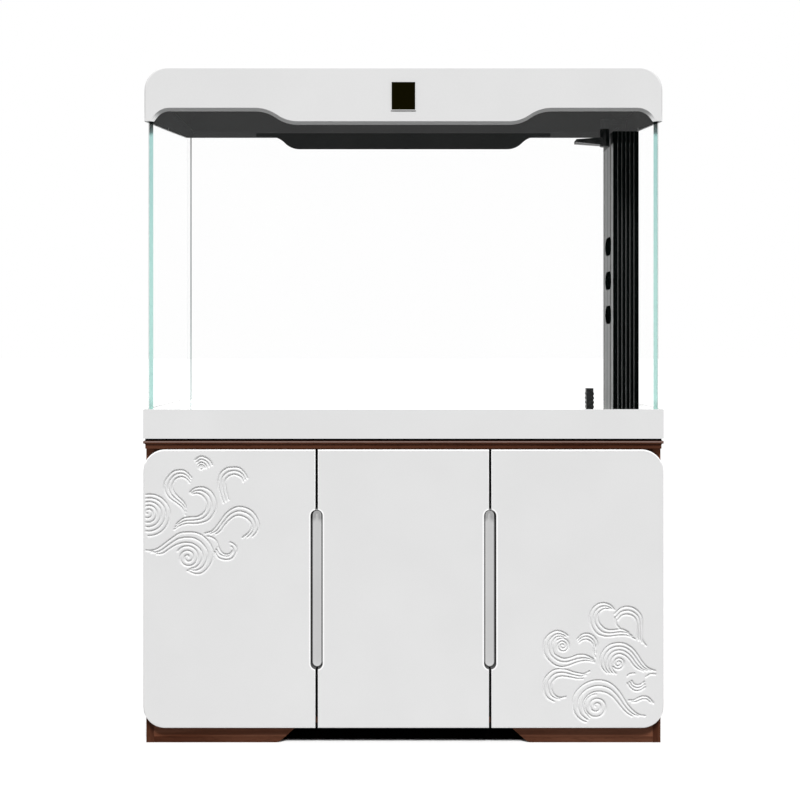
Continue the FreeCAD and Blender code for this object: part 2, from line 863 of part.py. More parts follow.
def six_sided(name, start, radius, length):
    """An upright six-sided bar whose corners lie at this radius."""
    solid = doc.addObject("Part::Prism", name)
    solid.Polygon = 6
    bind(solid, "Circumradius", radius)
    bind(solid, "Height", length)
    return place(solid, *start)


def make_bulkheads():
    """A flange inside the tank, a threaded barrel through the pane and a nut under it."""
    fittings = []
    bores = {"drain": s.drain_radius - s.drain_wall, "riser": s.riser_radius - s.riser_wall}
    for name, y, radius in PIPES:
        low = mat_top - s.bulkhead_down
        wide = radius + s.bulkhead_rim
        flange = rod(f"flange_{name}", "z", (pipe_x, y, tank_floor), wide, s.bulkhead_flange)
        barrel = rod(f"barrel_{name}", "z", (pipe_x, y, low), radius, tank_floor - low)
        nut = six_sided(f"nut_{name}", (pipe_x, y, mat_top - s.nut_thick), wide, s.nut_thick)
        bore = rod(f"way_{name}", "z", (pipe_x, y, low), bores[name],
                   tank_floor + s.bulkhead_flange - low)
        fittings.append(cut(f"fitting_{name}", fused(f"fitting_solid_{name}", flange, barrel, nut), bore))
    node(group("fittings", *fittings), "bulkhead_fittings")


def vector(x, y, z):
    return FreeCAD.Vector(*(as_size(size).number for size in (x, y, z)))


def pipe(name, points):
    """A rigid pipe of square elbows through the points, hollow from end to end."""
    corners = [vector(*point) for point in points]
    path = Part.Wire([Part.LineSegment(a, b).toShape() for a, b in zip(corners, corners[1:])])
    direction = (corners[1] - corners[0]).normalize()
    sizes = (s.riser_radius.number, s.riser_radius.number - s.riser_wall.number)
    outer, inner = (path.makePipeShell([Part.Wire([Part.makeCircle(size, corners[0], direction)])],
                                       True, False, MITRE) for size in sizes)
    feature = doc.addObject("Part::Feature", name)
    feature.Shape = outer.cut(inner)
    return feature


def make_pipes():
    stand_low = tank_floor + s.bulkhead_flange
    under = mat_top - s.bulkhead_down
    drain_top = tank_floor + column_tall - s.drain_below
    for name, low, high in (("drain_standpipe", stand_low, drain_top),
                            ("drain_pipe", sump_floor + s.drain_above, under)):
        outer = rod(f"{name}_outer", "z", (pipe_x, drain_y, low), s.drain_radius, high - low)
        bore = rod(f"{name}_bore", "z", (pipe_x, drain_y, low), s.drain_radius - s.drain_wall, high - low)
        node(cut(f"{name}_tube", outer, bore), name)
    riser_top = glass_top - s.riser_below
    riser = [(pipe_x, riser_y, stand_low), (pipe_x, riser_y, riser_top), (spout_x, riser_y, riser_top),
             (spout_x, riser_y, spout_end)]
    node(pipe("riser", riser), "riser_pipe")
    pump_top = sump_floor + s.pump_tall
    high = carcass_top - s.return_below
    supply = [(pump_x, riser_y, pump_top), (pump_x, riser_y, high), (pipe_x, riser_y, high),
              (pipe_x, riser_y, under)]
    node(pipe("supply", supply), "return_pipe")


spout_x = column_left - s.spout_away
spout_end = glass_top - s.spout_below


def make_nozzle():
    """A socket that turns on the spout's end, with a beak that widens and flattens to its mouth."""
    bottom = spout_end - s.nozzle_drop
    shell = rod("socket", "z", (spout_x, riser_y, bottom), s.nozzle_radius, s.nozzle_drop + s.nozzle_over)
    beak = beak_horn("beak", bottom + s.nozzle_radius, as_size(0))
    flow = beak_horn("flow", bottom + s.nozzle_radius, s.mouth_wall)
    seat = rod("seat", "z", (spout_x, riser_y, spout_end), s.riser_radius + s.nozzle_run, s.nozzle_over)
    well = rod("well", "z", (spout_x, riser_y, bottom + s.mouth_wall), s.riser_radius - s.riser_wall,
               s.nozzle_drop - s.mouth_wall)
    node(cut("nozzle", fused("nozzle_solid", shell, beak), flow, seat, well), "return_nozzle")


def beak_horn(name, z, wall):
    """A flat-sided horn from a square root inside the socket to a wide low mouth."""
    horn = doc.addObject("Part::Wedge", name)
    bind(horn, "Ymin", 0)
    bind(horn, "Ymax", s.nozzle_reach)
    for axis, root, mouth in (("X", s.beak_wide / 2 - wall, s.mouth_wide / 2 - wall),
                              ("Z", s.beak_tall / 2 - wall, s.mouth_tall / 2 - wall)):
        for prop, size in (("min", -root), ("max", root), ("2min", -mouth), ("2max", mouth)):
            bind(horn, f"{axis}{prop}", size)
    horn.Placement.Rotation = FreeCAD.Rotation(FreeCAD.Vector(0, 0, 1), 90)
    return place(horn, spout_x, riser_y, z)


def make_strainer():
    """A square strainer ringed with fine plates, standing on the tank's floor."""
    x = column_left - s.strainer_away

    def plate(name, half, low, tall):
        return block(name, (x - half, x + half), (s.strainer_y - half, s.strainer_y + half), (low, low + tall))

    core = plate("strainer_core", s.strainer_half - s.strainer_groove, tank_floor, s.strainer_tall)
    foot = plate("strainer_foot", s.strainer_foot, tank_floor, s.strainer_pitch / 2)
    count = int(s.strainer_tall.number // s.strainer_pitch.number)
    rings = [plate(f"strainer_ring_{i}", s.strainer_half, tank_floor + s.strainer_pitch * i,
                   s.strainer_pitch / 2)
             for i in range(1, count)]
    node(fused("strainer_solid", core, foot, *rings), "suction_strainer")


# ---- sump ----

def make_sump():
    body = new_body("sump")
    pad(body, rectangle(body, "XY", floor_top, (sump_left, -sump_half), (sump_right, sump_half)), s.sump_tall)
    walls = (sump_left + s.sump_glass, -sump_half + s.sump_glass)
    far = (sump_right - s.sump_glass, sump_half - s.sump_glass)
    pocket(body, rectangle(body, "XY", floor_top + s.sump_tall, walls, far), s.sump_tall - s.sump_glass)
    for at in (s.baffle_one, s.baffle_two):
        plate = rectangle(body, "XY", floor_top, (walls[0] + at, -sump_half),
                          (walls[0] + at + s.baffle, sump_half))
        pad(body, plate, s.baffle_tall)
    node(body, "sump_tank")


def make_media():
    left = sump_left + s.sump_glass + s.baffle_one + s.baffle + s.tray_gap
    right = sump_left + s.sump_glass + s.baffle_two - s.tray_gap
    half = sump_half - s.sump_glass - s.tray_gap
    body = new_body("tray")
    pad(body, rectangle(body, "XY", sump_floor, (left, -half), (right, half)), s.tray_tall)
    wall = s.tray_wall
    top = sump_floor + s.tray_tall
    pocket(body, rectangle(body, "XY", top, (left + wall, -half + wall), (right - wall, half - wall)),
           s.tray_tall - s.tray_low)
    node(body, "media_tray")
    clear = wall + s.tray_gap
    media = block("media", (left + clear, right - clear), (clear - half, half - clear),
                  (sump_floor + s.tray_low, sump_floor + s.tray_low + s.media_tall))
    node(media, "filter_media")


def make_pump():
    """A round-cornered motor block with an inlet ring in front and an outlet under the return pipe."""
    body = new_body("pump")
    half = (s.pump_wide / 2, s.pump_deep / 2)
    y = riser_y
    tall = s.pump_tall - s.pump_round
    casing = rectangle(body, "XY", sump_floor, (pump_x - half[0], y - half[1]),
                       (pump_x + half[0], y + half[1]))
    pad(body, casing, tall)
    corners = [(pump_x + half[0] * i, y + half[1] * j) for i in (-1, 1) for j in (-1, 1)]
    rounded(body, s.pump_round, along("z", *corners))
    pad(body, circle(body, "XY", sump_floor + tall, (pump_x, y), s.riser_radius + s.riser_wall), s.pump_round)
    pad(body, circle(body, "XZ", y - half[1], (pump_x, sump_floor + tall / 2), s.pump_tall / 4), s.pump_round)
    node(body, "return_pump")


# ---- hood ----

# How far a cutting shape runs past the piece that it cuts.
PAST = 1
leg_low = glass_top - s.hood_leg_drop
mid_low = glass_top - s.hood_mid_drop
raised_low = glass_top - s.hood_raised_drop
back_low = glass_top - s.hood_back_drop
hood_half = tank_half + s.hood_clear + s.hood_wall
leg_out = hood_half - s.leg_wide
leg_in = leg_out - s.leg_slope
hood_front = front + s.hood_back_set
hood_back = back - s.hood_back_set
lid_back = -s.lid_gap / 2
cover_front = s.lid_gap / 2
liner_half = water_half - s.liner_clear
liner_front = water_front + s.liner_wall
liner_back = water_back - s.liner_back_gap
pivot_z = hood_top - s.hood_wall / 2


def side_low(y):
    """The height of the hood's sloping side edge at the place y."""
    return leg_low + (back_low - leg_low) * (y - water_front) / (water_back - water_front)


def mirrored(points):
    """Points of a right half, outermost first, with their mirror images on the left."""
    return points + [(-u, v) for u, v in reversed(points)]


def hood_shell(name, near_y, far_y, points):
    """A length of the hood's arched section, from near_y back to far_y, with its front outline."""
    body = new_body(name)
    pad(body, outline(body, "XZ", far_y, points), far_y - near_y)
    return body


def hollow_section(body, at, depth, low, backwards):
    """Hollow the shell along y from the plane `at`, then round its upper corners inside and out."""
    inside = hood_half - s.hood_wall
    roof = hood_top - s.hood_wall
    cavity = rectangle(body, "XZ", at, (-inside, low), (inside, roof))
    pocket(body, cavity, depth, backwards)
    rounded(body, s.hood_corner - s.hood_wall, along("y", (inside, roof), (-inside, roof)))
    rounded(body, s.hood_corner, along("y", (hood_half, hood_top), (-hood_half, hood_top)))


def hinge_notch(body, side, y):
    """Clear the roof round one hinge's knuckles."""
    middle = s.lid_hinge_place * side
    half = s.lid_hinge_long / 2 + s.knuckle_gap
    pocket(body, rectangle(body, "XY", hood_top, (middle - half, y[0]), (middle + half, y[1])), s.hood_wall)


def in_arch(edge):
    """Picks the edges under the front between the two legs, which get the shaded brow."""
    box = edge.BoundBox
    reach = max(abs(box.XMin), abs(box.XMax))
    return box.ZMax < raised_low.number + 0.01 and reach < leg_out.number + 0.01


def on_rim(edge):
    """Picks the edges over the legs, round the corners and along the top."""
    box = edge.BoundBox
    return max(abs(box.XMin), abs(box.XMax)) > hood_half.number - 0.01 and box.ZMax > raised_low.number + 0.01


def make_lid():
    body = hood_shell("lid", hood_front, lid_back, mirrored([
        (hood_half, hood_top), (hood_half, leg_low), (leg_out, leg_low), (leg_in, raised_low),
        (s.wave_out, raised_low), (s.wave_in, mid_low)]))
    rounded(body, s.leg_round, along("y", (-leg_in, raised_low), (leg_in, raised_low)))
    rounded(body, s.wave_round, along("y", *((x * side, z) for side in (-1, 1)
                                           for x, z in ((s.wave_out, raised_low), (s.wave_in, mid_low)))))
    face_back = hood_front + s.hood_face
    hollow_section(body, lid_back, lid_back - face_back, mid_low - s.board, True)
    end = lid_back + PAST
    slope = [(face_back, mid_low - s.board), (face_back, leg_low), (end, side_low(end)),
             (end, mid_low - s.board)]
    pocket(body, outline(body, "YZ", -hood_half - PAST, slope), 2 * (hood_half + PAST), True)
    for side in (-1, 1):
        hinge_notch(body, side, (-s.lid_notch, as_size(0)))
    ledge_low = glass_top + s.liner_flange + s.liner_side_gap
    ledge = rectangle(body, "XZ", face_back + s.board, (-s.wave_in, ledge_low),
                      (s.wave_in, ledge_low + s.ledge))
    pad(body, ledge, s.board)
    dressed("Chamfer", body, "Size", s.brow, lambda edge: in_plane("y", hood_front)(edge) and in_arch(edge))
    rounded(body, s.hood_round, lambda edge: in_plane("y", hood_front)(edge) and on_rim(edge))
    node(body, "hood_lid_shell")


def make_cover():
    body = hood_shell("cover", cover_front, hood_back, mirrored([(hood_half, hood_top), (hood_half, leg_low)]))
    hollow_section(body, cover_front, hood_back - s.hood_wall - cover_front, leg_low - s.board, False)
    start = cover_front - PAST
    end = hood_back + PAST
    slope = [(start, leg_low - s.board), (start, side_low(start)), (end, side_low(end)),
             (end, leg_low - s.board)]
    pocket(body, outline(body, "YZ", -hood_half - PAST, slope), 2 * (hood_half + PAST), True)
    for side in (-1, 1):
        hinge_notch(body, side, (as_size(0), s.lid_notch))
        rest = rectangle(body, "XZ", hood_back - s.hood_wall,
                         ((liner_half + s.liner_wall) * side, glass_top + s.liner_flange),
                         ((hood_half - s.hood_wall / 2) * side, glass_top + s.liner_flange + s.ledge))
        pad(body, rest, s.rest_long)
    node(body, "hood_cover")


def make_liner():
    """A dark frame that sits on the glass, with flaps down inside the back and the sloping sides."""
    body = new_body("liner")
    edge = hood_half - s.hood_wall - s.liner_side_gap
    near, far = hood_front + s.hood_face + s.liner_side_gap, hood_back - s.hood_wall - s.liner_side_gap
    inner = liner_half - s.liner_reach / 2
    pad(body, rectangle(body, "XY", glass_top, (-edge, near), (edge, far)), s.liner_flange)
    pocket(body, rectangle(body, "XY", glass_top + s.liner_flange, (-inner, near + s.liner_reach * 2),
                           (inner, liner_back - s.hump_thick - s.liner_reach / 2)), s.liner_flange)
    for side in (-1, 1):
        flap = outline(body, "YZ", (liner_half - s.liner_wall) * side if side > 0 else -liner_half, [
            (liner_front, glass_top), (liner_front, side_low(liner_front)),
            (liner_back, side_low(liner_back)), (liner_back, glass_top)])
        pad(body, flap, s.liner_wall)
    rear = rectangle(body, "XZ", liner_back, (-liner_half, back_low), (liner_half, glass_top))
    pad(body, rear, s.liner_wall)
    node(body, "hood_liner")


def make_hump():
    """The dark panel in front of the liner's back, whose middle hangs lower in two soft steps."""
    body = new_body("hump")
    low = glass_top - s.hump_drop
    outer = s.hump_half - s.hump_shoulder
    inner = outer - s.hump_slope
    pad(body, outline(body, "XZ", liner_back - s.liner_wall, mirrored([
        (s.hump_half, glass_top), (s.hump_half, back_low), (outer, back_low), (inner, low)])), s.hump_thick)
    rounded(body, s.hump_round, along("y", *((x * side, z) for side in (-1, 1)
                                           for x, z in ((outer, back_low), (inner, low)))))
    node(body, "hood_hump_panel")


def make_lamp():
    low = glass_top + s.liner_flange + s.lamp_bracket
    half = liner_half - s.lamp_end_gap
    y = (-s.lamp_front, s.lamp_deep - s.lamp_front)
    body = new_body("lamp")
    pad(body, rectangle(body, "XY", low, (-half, y[0]), (half, y[1])), s.lamp_tall)
    wall = s.lamp_wall
    opening = rectangle(body, "XY", low, (wall - half, y[0] + wall), (half - wall, y[1] - wall))
    pocket(body, opening, wall, True)
    node(body, "lamp_housing")
    lens = block("lens", (wall - half, half - wall), (y[0] + wall, y[1] - wall), (low, low + wall))
    node(lens, "lamp_diffuser")
    middle = (y[0] + y[1]) / 2
    outer = hood_half - s.hood_wall - s.liner_side_gap
    brackets = [block(f"bracket_{name}", span(side, half - s.board, outer),
                      (middle - s.lamp_bracket_wide / 2, middle + s.lamp_bracket_wide / 2),
                      (low - s.lamp_bracket, low)) for name, side in SIDES]
    node(group("brackets", *brackets), "lamp_brackets")


def hinge_leaf(tag, middle, toward, lengths):
    """A flat leaf under the roof, with tabs up to knuckles on the given stretches of the pin."""
    half = s.lid_hinge_long / 2
    root = s.lid_notch - s.knuckle_gap / 2
    roof = hood_top - s.hood_wall
    deep = span(toward, root, s.lid_leaf_deep)
    parts = [block(f"leaf_{tag}", (middle - half, middle + half), deep, (roof - s.lid_leaf, roof))]
    for number, (low, high) in enumerate(lengths):
        x = (middle + low, middle + high)
        parts.append(block(f"tab_{tag}_{number}", x, span(toward, s.knuckle_gap, root + s.lid_leaf),
                           (roof - s.lid_leaf, roof)))
        parts.append(block(f"web_{tag}_{number}", x, span(toward, as_size(0), root),
                           (roof - s.lid_leaf / 2, pivot_z)))
        parts.append(rod(f"knuckle_{tag}_{number}", "x", (x[0], as_size(0), pivot_z),
                         s.lid_knuckle, high - low))
    bore = rod(f"leaf_bore_{tag}", "x", (middle - half, as_size(0), pivot_z),
               s.lid_pin + s.lid_pin_run, 2 * half)
    return cut(f"hinge_{tag}", fused(f"hinge_solid_{tag}", *parts), bore)


def make_lid_hinges():
    half = s.lid_hinge_long / 2
    inner = s.lid_hinge_long / 6
    fixed, moving, pins = [], [], []
    for name, side in SIDES:
        middle = s.lid_hinge_place * side
        fixed.append(hinge_leaf(f"cover_{name}", middle, 1, [(-half, -inner - s.knuckle_gap),
                                                             (inner + s.knuckle_gap, half)]))
        moving.append(hinge_leaf(f"lid_{name}", middle, -1, [(-inner, inner)]))
        pins.append(rod(f"lid_pin_{name}", "x", (middle - half, as_size(0), pivot_z), s.lid_pin, 2 * half))
    node(group("cover_leaves", *fixed), "cover_hinge_leaves")
    node(group("lid_leaves", *moving), "lid_hinge_leaves")
    node(group("lid_pins", *pins), "lid_hinge_pins")


def make_badge():
    centre = hood_top - s.badge_below
    plate = block("badge", (-s.badge_wide / 2, s.badge_wide / 2), (front, hood_front),
                  (centre - s.badge_tall / 2, centre + s.badge_tall / 2))
    node(plate, "badge_plate")


# ---- make everything, check it and write it ----

def check_document():
    doc.recompute()
    for thing in doc.Objects:
        if "Invalid" in thing.State or "Error" in thing.State:
            raise ValueError(f"{thing.Label} failed: {thing.State}")
    for thing in NODES:
        if thing.Shape.isNull() or not thing.Shape.isValid() or not thing.Shape.Solids:
            raise ValueError(f"{thing.Label} has no valid solid")


def main():
    for make in (make_carcass, make_rails, make_cornice, make_mat, make_back_panel, make_grommets, make_base,
                 make_shelf, make_bumpers, make_pull_pans):
        make()
    for name in DOORS:
        make_door(name)
        make_hinges(name)
    for make in (make_tank, make_skirt, make_column, make_bulkheads, make_pipes, make_nozzle, make_strainer,
                 make_sump, make_media, make_pump, make_lid, make_cover, make_liner, make_hump, make_lamp,
                 make_lid_hinges, make_badge):
        make()
    check_document()
    os.makedirs("parts", exist_ok=True)
    for thing in NODES:
        thing.Shape.exportStep(f"parts/{thing.Label}.step")
    print(f"{len(NODES)} pieces, {sum(len(thing.Shape.Solids) for thing in NODES)} solids")


main()
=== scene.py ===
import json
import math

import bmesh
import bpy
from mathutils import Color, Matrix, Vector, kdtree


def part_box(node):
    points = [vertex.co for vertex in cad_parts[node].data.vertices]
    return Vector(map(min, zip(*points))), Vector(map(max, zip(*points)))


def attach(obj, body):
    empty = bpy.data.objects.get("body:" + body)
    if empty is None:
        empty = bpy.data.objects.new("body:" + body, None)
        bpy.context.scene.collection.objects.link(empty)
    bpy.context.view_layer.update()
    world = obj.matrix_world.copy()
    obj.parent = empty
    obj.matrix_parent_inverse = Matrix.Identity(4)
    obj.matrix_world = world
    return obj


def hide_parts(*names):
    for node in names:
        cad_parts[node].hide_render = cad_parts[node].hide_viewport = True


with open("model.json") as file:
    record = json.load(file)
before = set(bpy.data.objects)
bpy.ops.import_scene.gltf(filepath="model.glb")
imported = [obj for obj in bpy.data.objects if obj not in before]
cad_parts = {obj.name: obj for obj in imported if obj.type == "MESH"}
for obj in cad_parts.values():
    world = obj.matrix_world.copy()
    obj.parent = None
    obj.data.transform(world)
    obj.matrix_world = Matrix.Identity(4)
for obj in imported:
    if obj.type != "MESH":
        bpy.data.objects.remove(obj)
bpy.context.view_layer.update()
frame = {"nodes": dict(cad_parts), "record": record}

# %% [markdown]
# # Aquarium stand cabinet
#
# The CAD model gives every size and every moving part. This notebook gives it its
# looks: walnut with grain, satin white lacquer with carved clouds, clear glass with
# sea-green edges, and a soft white studio around it. Lengths are in metres; `MM` turns
# millimetres into metres.

MM = 0.001
nodes = frame["nodes"]
print("pieces in the CAD model:", len(nodes))

# %% [markdown]
# ## The camera
#
# The camera stands straight in front, level, a little below the middle of the unit's
# height. A small vertical shift brings the tall unit into the square picture without
# tilting the camera, so the upright edges stay parallel.

# %% A level camera in front of the unit
scene = bpy.context.scene
lens_data = bpy.data.cameras.new("front_camera")
lens_data.lens = 46.085
lens_data.sensor_width = 36
lens_data.shift_x = -0.00425
lens_data.shift_y = -0.0701
camera = bpy.data.objects.new("front_camera", lens_data)
camera.location = (0, -2.590, 0.9268)
camera.rotation_euler = (math.radians(90), 0, 0)
scene.collection.objects.link(camera)
scene.camera = camera
scene.view_settings.view_transform = "Standard"
print("camera lens:", lens_data.lens, "mm")

# %% [markdown]
# ## Writing materials as sums
#
# A material is a small network of nodes. The class below wraps one output of the
# network, so that `grain * 0.5 + 0.2` adds the two Math nodes that work it out.


# %% One value of a network of nodes
class Value:
    """An output socket that adds Math nodes when it is used in a sum."""

    def __init__(self, socket):
        self.socket = socket
        self.tree = socket.id_data

    def node(self, kind, settings, sockets, out=0):
        """Adds a node: its settings first, then what its sockets take."""
        made = self.tree.nodes.new(kind)
        for name, setting in settings.items():
            setattr(made, name, setting)
        for name, taken in sockets.items():
            if isinstance(taken, Value):
                self.tree.links.new(taken.socket, made.inputs[name])
            else:
                made.inputs[name].default_value = taken
        return Value(made.outputs[out])

    def math(self, operation, *others):
        taken = dict(enumerate((self, *others)))
        return self.node("ShaderNodeMath", {"operation": operation}, taken)

    def __add__(self, other):
        return self.math("ADD", other)

    def __sub__(self, other):
        return self.math("SUBTRACT", other)

    def __mul__(self, other):
        return self.math("MULTIPLY", other)

    def __rsub__(self, other):
        return (self * -1) + other

    __radd__ = __add__
    __rmul__ = __mul__

    def above(self, edge):
        return self.math("GREATER_THAN", edge)

    def below(self, edge):
        return self.math("LESS_THAN", edge)

    def larger(self, other):
        return self.math("MAXIMUM", other)

    def size(self):
        return self.math("ABSOLUTE")

    def spread(self, low, high):
        """Stretches low..high to 0..1 with soft ends."""
        settings = {"interpolation_type": "SMOOTHSTEP"}
        taken = {0: self, 1: low, 2: high}
        return self.node("ShaderNodeMapRange", settings, taken)

    def part(self, letter):
        """One coordinate of a point."""
        return self.node("ShaderNodeSeparateXYZ", {}, {0: self}, "XYZ".index(letter))

    def stretched(self, *factors):
        settings = {"operation": "MULTIPLY"}
        return self.node("ShaderNodeVectorMath", settings, {0: self, 1: factors})

    def noise(self, scale, detail=2.0, rough=0.5):
        taken = {"Vector": self, "Scale": scale, "Detail": detail, "Roughness": rough}
        return self.node("ShaderNodeTexNoise", {}, taken)

    def colours(self, low, high):
        """Goes from one colour to the other as the value goes from 0 to 1."""
        settings = {"data_type": "RGBA"}
        return self.node("ShaderNodeMix", settings, {0: self, 6: low, 7: high}, 2)


def paint(red, green, blue):
    """A colour given as it looks on a screen, 0 to 255."""
    seen = Color((red / 255, green / 255, blue / 255))
    return (*seen.from_srgb_to_scene_linear(), 1)


def grey(level):
    return paint(level, level, level)


print("grey(227) is", round(grey(227)[0], 3))

# %% A material, its skin and the point it is asked about
materials = {}


def start(name, shine=0.5, **fixed):
    """A new material: its Principled node, and the point in the object's space."""
    made = bpy.data.materials.new(name)
    made.use_nodes = True
    tree = made.node_tree
    skin = tree.nodes["Principled BSDF"]
    skin.inputs["Specular IOR Level"].default_value = shine
    for socket, number in fixed.items():
        skin.inputs[socket.replace("_", " ")].default_value = number
    place = Value(tree.nodes.new("ShaderNodeTexCoord").outputs["Object"])
    materials[name] = made
    return skin, place


def finish_skin(skin, **wired):
    """Joins worked-out values to the Principled node's sockets."""
    tree = skin.id_data
    for socket, value in wired.items():
        tree.links.new(value.socket, skin.inputs[socket.replace("_", " ")])


def bump(height, depth, strength=1.0):
    taken = {"Height": height, "Distance": depth, "Strength": strength}
    return height.node("ShaderNodeBump", {}, taken)


def seen_directly(tree):
    """1 where the camera looks, also in a mirror or through glass; 0 for bounced light."""
    ray = tree.nodes.new("ShaderNodeLightPath")
    straight = Value(ray.outputs["Is Camera Ray"])
    mirrored = Value(ray.outputs["Is Glossy Ray"])
    through = Value(ray.outputs["Is Transmission Ray"])
    return straight.larger(mirrored).larger(through)


print("material helpers ready")

# %% [markdown]
# ## Floor and light
#
# The floor and the background look white to the camera and in reflections, but send
# little light back on the object. One sun stands high in front, so anything carved into
# an upright face gets a dark upper lip and a bright lower lip. The even light of the
# background fills the rest.

# %% A pale floor that reaches the horizon
FLOOR_HALF = 60
floor_shape = bmesh.new()
bmesh.ops.create_grid(floor_shape, x_segments=1, y_segments=1, size=FLOOR_HALF)
floor_mesh = bpy.data.meshes.new("floor")
floor_shape.to_mesh(floor_mesh)
floor_shape.free()
floor = bpy.data.objects.new("floor", floor_mesh)
scene.collection.objects.link(floor)
skin, place = start("floor", 0.0)
cloud = place.noise(0.8, 2)
pale = cloud.colours(grey(249), grey(251))
dull = cloud.colours(grey(134), grey(138))
finish_skin(
    skin,
    Base_Color=seen_directly(skin.id_data).colours(dull, pale),
    Roughness=cloud * 0.1 + 0.85,
)
floor_mesh.materials.append(materials["floor"])
print("floor side:", 2 * FLOOR_HALF, "m")

# %% A high sun
SUN_HEIGHT = math.radians(52)
SUN_SIDE = math.radians(4)
sun_data = bpy.data.lights.new("high_sun", "SUN")
sun_data.energy = 3.6
sun_data.angle = math.radians(12)
sun = bpy.data.objects.new("high_sun", sun_data)
sun.rotation_euler = (math.radians(90) - SUN_HEIGHT, 0, SUN_SIDE)
scene.collection.objects.link(sun)
print("sun energy:", sun_data.energy)

# %% A white background with a quieter fill
FILL = 0.30
world = bpy.data.worlds.new("white_room")
world.use_nodes = True
scene.world = world
sky = world.node_tree
fill_light = sky.nodes["Background"]
fill_light.inputs["Color"].default_value = (1, 1, 1, 1)
fill_light.inputs["Strength"].default_value = FILL
backdrop = sky.nodes.new("ShaderNodeBackground")
backdrop.inputs["Color"].default_value = (1, 1, 1, 1)
backdrop.inputs["Strength"].default_value = 1.0
chosen = sky.nodes.new("ShaderNodeMixShader")
sky.links.new(seen_directly(sky).socket, chosen.inputs[0])
sky.links.new(fill_light.outputs[0], chosen.inputs[1])
sky.links.new(backdrop.outputs[0], chosen.inputs[2])
sky.links.new(chosen.outputs[0], sky.nodes["World Output"].inputs["Surface"])
print("fill light:", FILL)

# %% [markdown]
# ## Walnut
#
# Veneer has broad soft bands, fine streaks and short dark pores, all drawn out along the
# grain. Stretching the coordinates before a noise gives each of them. The upper lip of
# the cornice has a painted highlight. Less strongly, the base board and the top of each
# side panel's front edge are painted lighter, as light where the doors and cornice shade them.

# %% Walnut with upright, level or deep grain


def between(value, low, high):
    return value.above(low) * value.below(high)


def walnut(name, stretch, painted_highlight=None, painted_light=None):
    skin, place = start(name, shine=0.04)
    height = place.part("Z")
    along = place.stretched(*stretch)
    bands = along.noise(9, 3, 0.6)
    streaks = along.noise(70, 4, 0.65)
    pores = place.stretched(*[side ** 0.7 for side in stretch]).noise(420, 1)
    tone = bands.spread(0.3, 0.7) * 0.5 + streaks.spread(0.3, 0.7) * 0.5
    wood = tone.colours(paint(54, 24, 12), paint(98, 62, 46))
    dark = pores.spread(0.58, 0.72) * 0.35
    wood = dark.colours(wood, paint(34, 13, 6))
    # Painted highlight: a pale band along the cornice's upper lip.
    if painted_highlight:
        wood = between(height, *painted_highlight).colours(wood, paint(136, 116, 110))
    # Painted light: a paler band where the doors and cornice shade the wood.
    if painted_light:
        pale = tone.colours(paint(88, 46, 29), paint(132, 89, 69))
        wood = between(height, *painted_light).colours(wood, pale)
    finish_skin(
        skin,
        Base_Color=wood,
        Roughness=streaks * 0.2 + 0.4,
        Normal=bump(streaks - pores * 0.6, 0.2 * MM, 0.5),
    )


UPRIGHT = (1, 1, 0.05)
LEVEL = (0.05, 1, 1)
DEEP = (1, 0.05, 1)
CORNICE_LIP = (699.8 * MM, 702.4 * MM)
BASE_PAINTED_LIGHT = (14 * MM, 60 * MM)
SIDE_PAINTED_LIGHT = (635 * MM, 690 * MM)
walnut("walnut", UPRIGHT)
walnut("walnut_level", LEVEL)
walnut("walnut_deep", DEEP)
walnut("walnut_cornice_highlight", LEVEL, painted_highlight=CORNICE_LIP)
walnut("walnut_base_painted_light", LEVEL, painted_light=BASE_PAINTED_LIGHT)
walnut("walnut_side_painted_light", UPRIGHT, painted_light=SIDE_PAINTED_LIGHT)
print("walnut materials: 6")

# %% [markdown]
# ## Plain finishes
#
# Lacquer and plastic are never one flat value. Each gets a faint cloudiness in its
# colour, a slow change in its gloss and a fine texture in its surface. Some plastics also
# get a painted glow, which stands in for light though they are no lamps: the skirt's
# faces that look in at the tank, the dark plastics in the hood and the grey pull pans.

# %% Lacquers, plastics and rubber
PAINTED_GLOW = 1.0


def plain(name, low, high, rough, shine=0.3, grain=300, relief=0.05, painted_glow=None):
    """A finish between two close colours with a fine surface texture."""
    skin, place = start(name, shine)
    cloud = place.noise(6, 2)
    fine = place.noise(grain, 2)
    tone = (cloud * 0.7 + fine * 0.3).spread(0.3, 0.7)
    finish_skin(
        skin,
        Base_Color=tone.colours(low, high),
        Roughness=fine * 0.08 + cloud * 0.06 + rough,
        Normal=bump(fine, relief * MM, 0.4),
    )
    # A painted glow: the part gives off light though it is no lamp.
    if painted_glow:
        skin.inputs["Emission Strength"].default_value = PAINTED_GLOW
        finish_skin(skin, Emission_Color=tone.colours(*painted_glow))


plain("white_plastic", grey(224), grey(227), 0.35, 0.1)
# Painted light: the skirt's faces that look in at the tank are a lighter copy of the white
# plastic, with a painted glow.
plain("painted_lit_plastic", grey(252), grey(254), 0.35, 0.3, painted_glow=(grey(243), grey(246)))
plain("black_board", paint(2, 1, 1), paint(5, 4, 4), 0.8, 0.0)
plain("foam", paint(4, 4, 4), paint(12, 12, 12), 0.85, 0.0, 900, 0.3)
plain("dark_plastic", grey(54), grey(60), 0.7, 0.0)
# Painted glow on the dark plastics inside the hood, standing in for light that does not reach
# them.
plain("hood_plastic", grey(50), grey(56), 0.7, 0.0, painted_glow=(grey(54), grey(56)))
plain("hump_plastic", grey(26), grey(32), 0.7, 0.0, painted_glow=(grey(28), grey(31)))
plain("black_plastic", grey(3), grey(8), 0.3, 0.3)
plain("column_front", grey(1), grey(3), 0.5, 0.0)
# Painted glow on the grey pull pans evens out their shade.
plain("grey_trim", grey(146), grey(152), 0.4, 0.1, painted_glow=(grey(142), grey(146)))
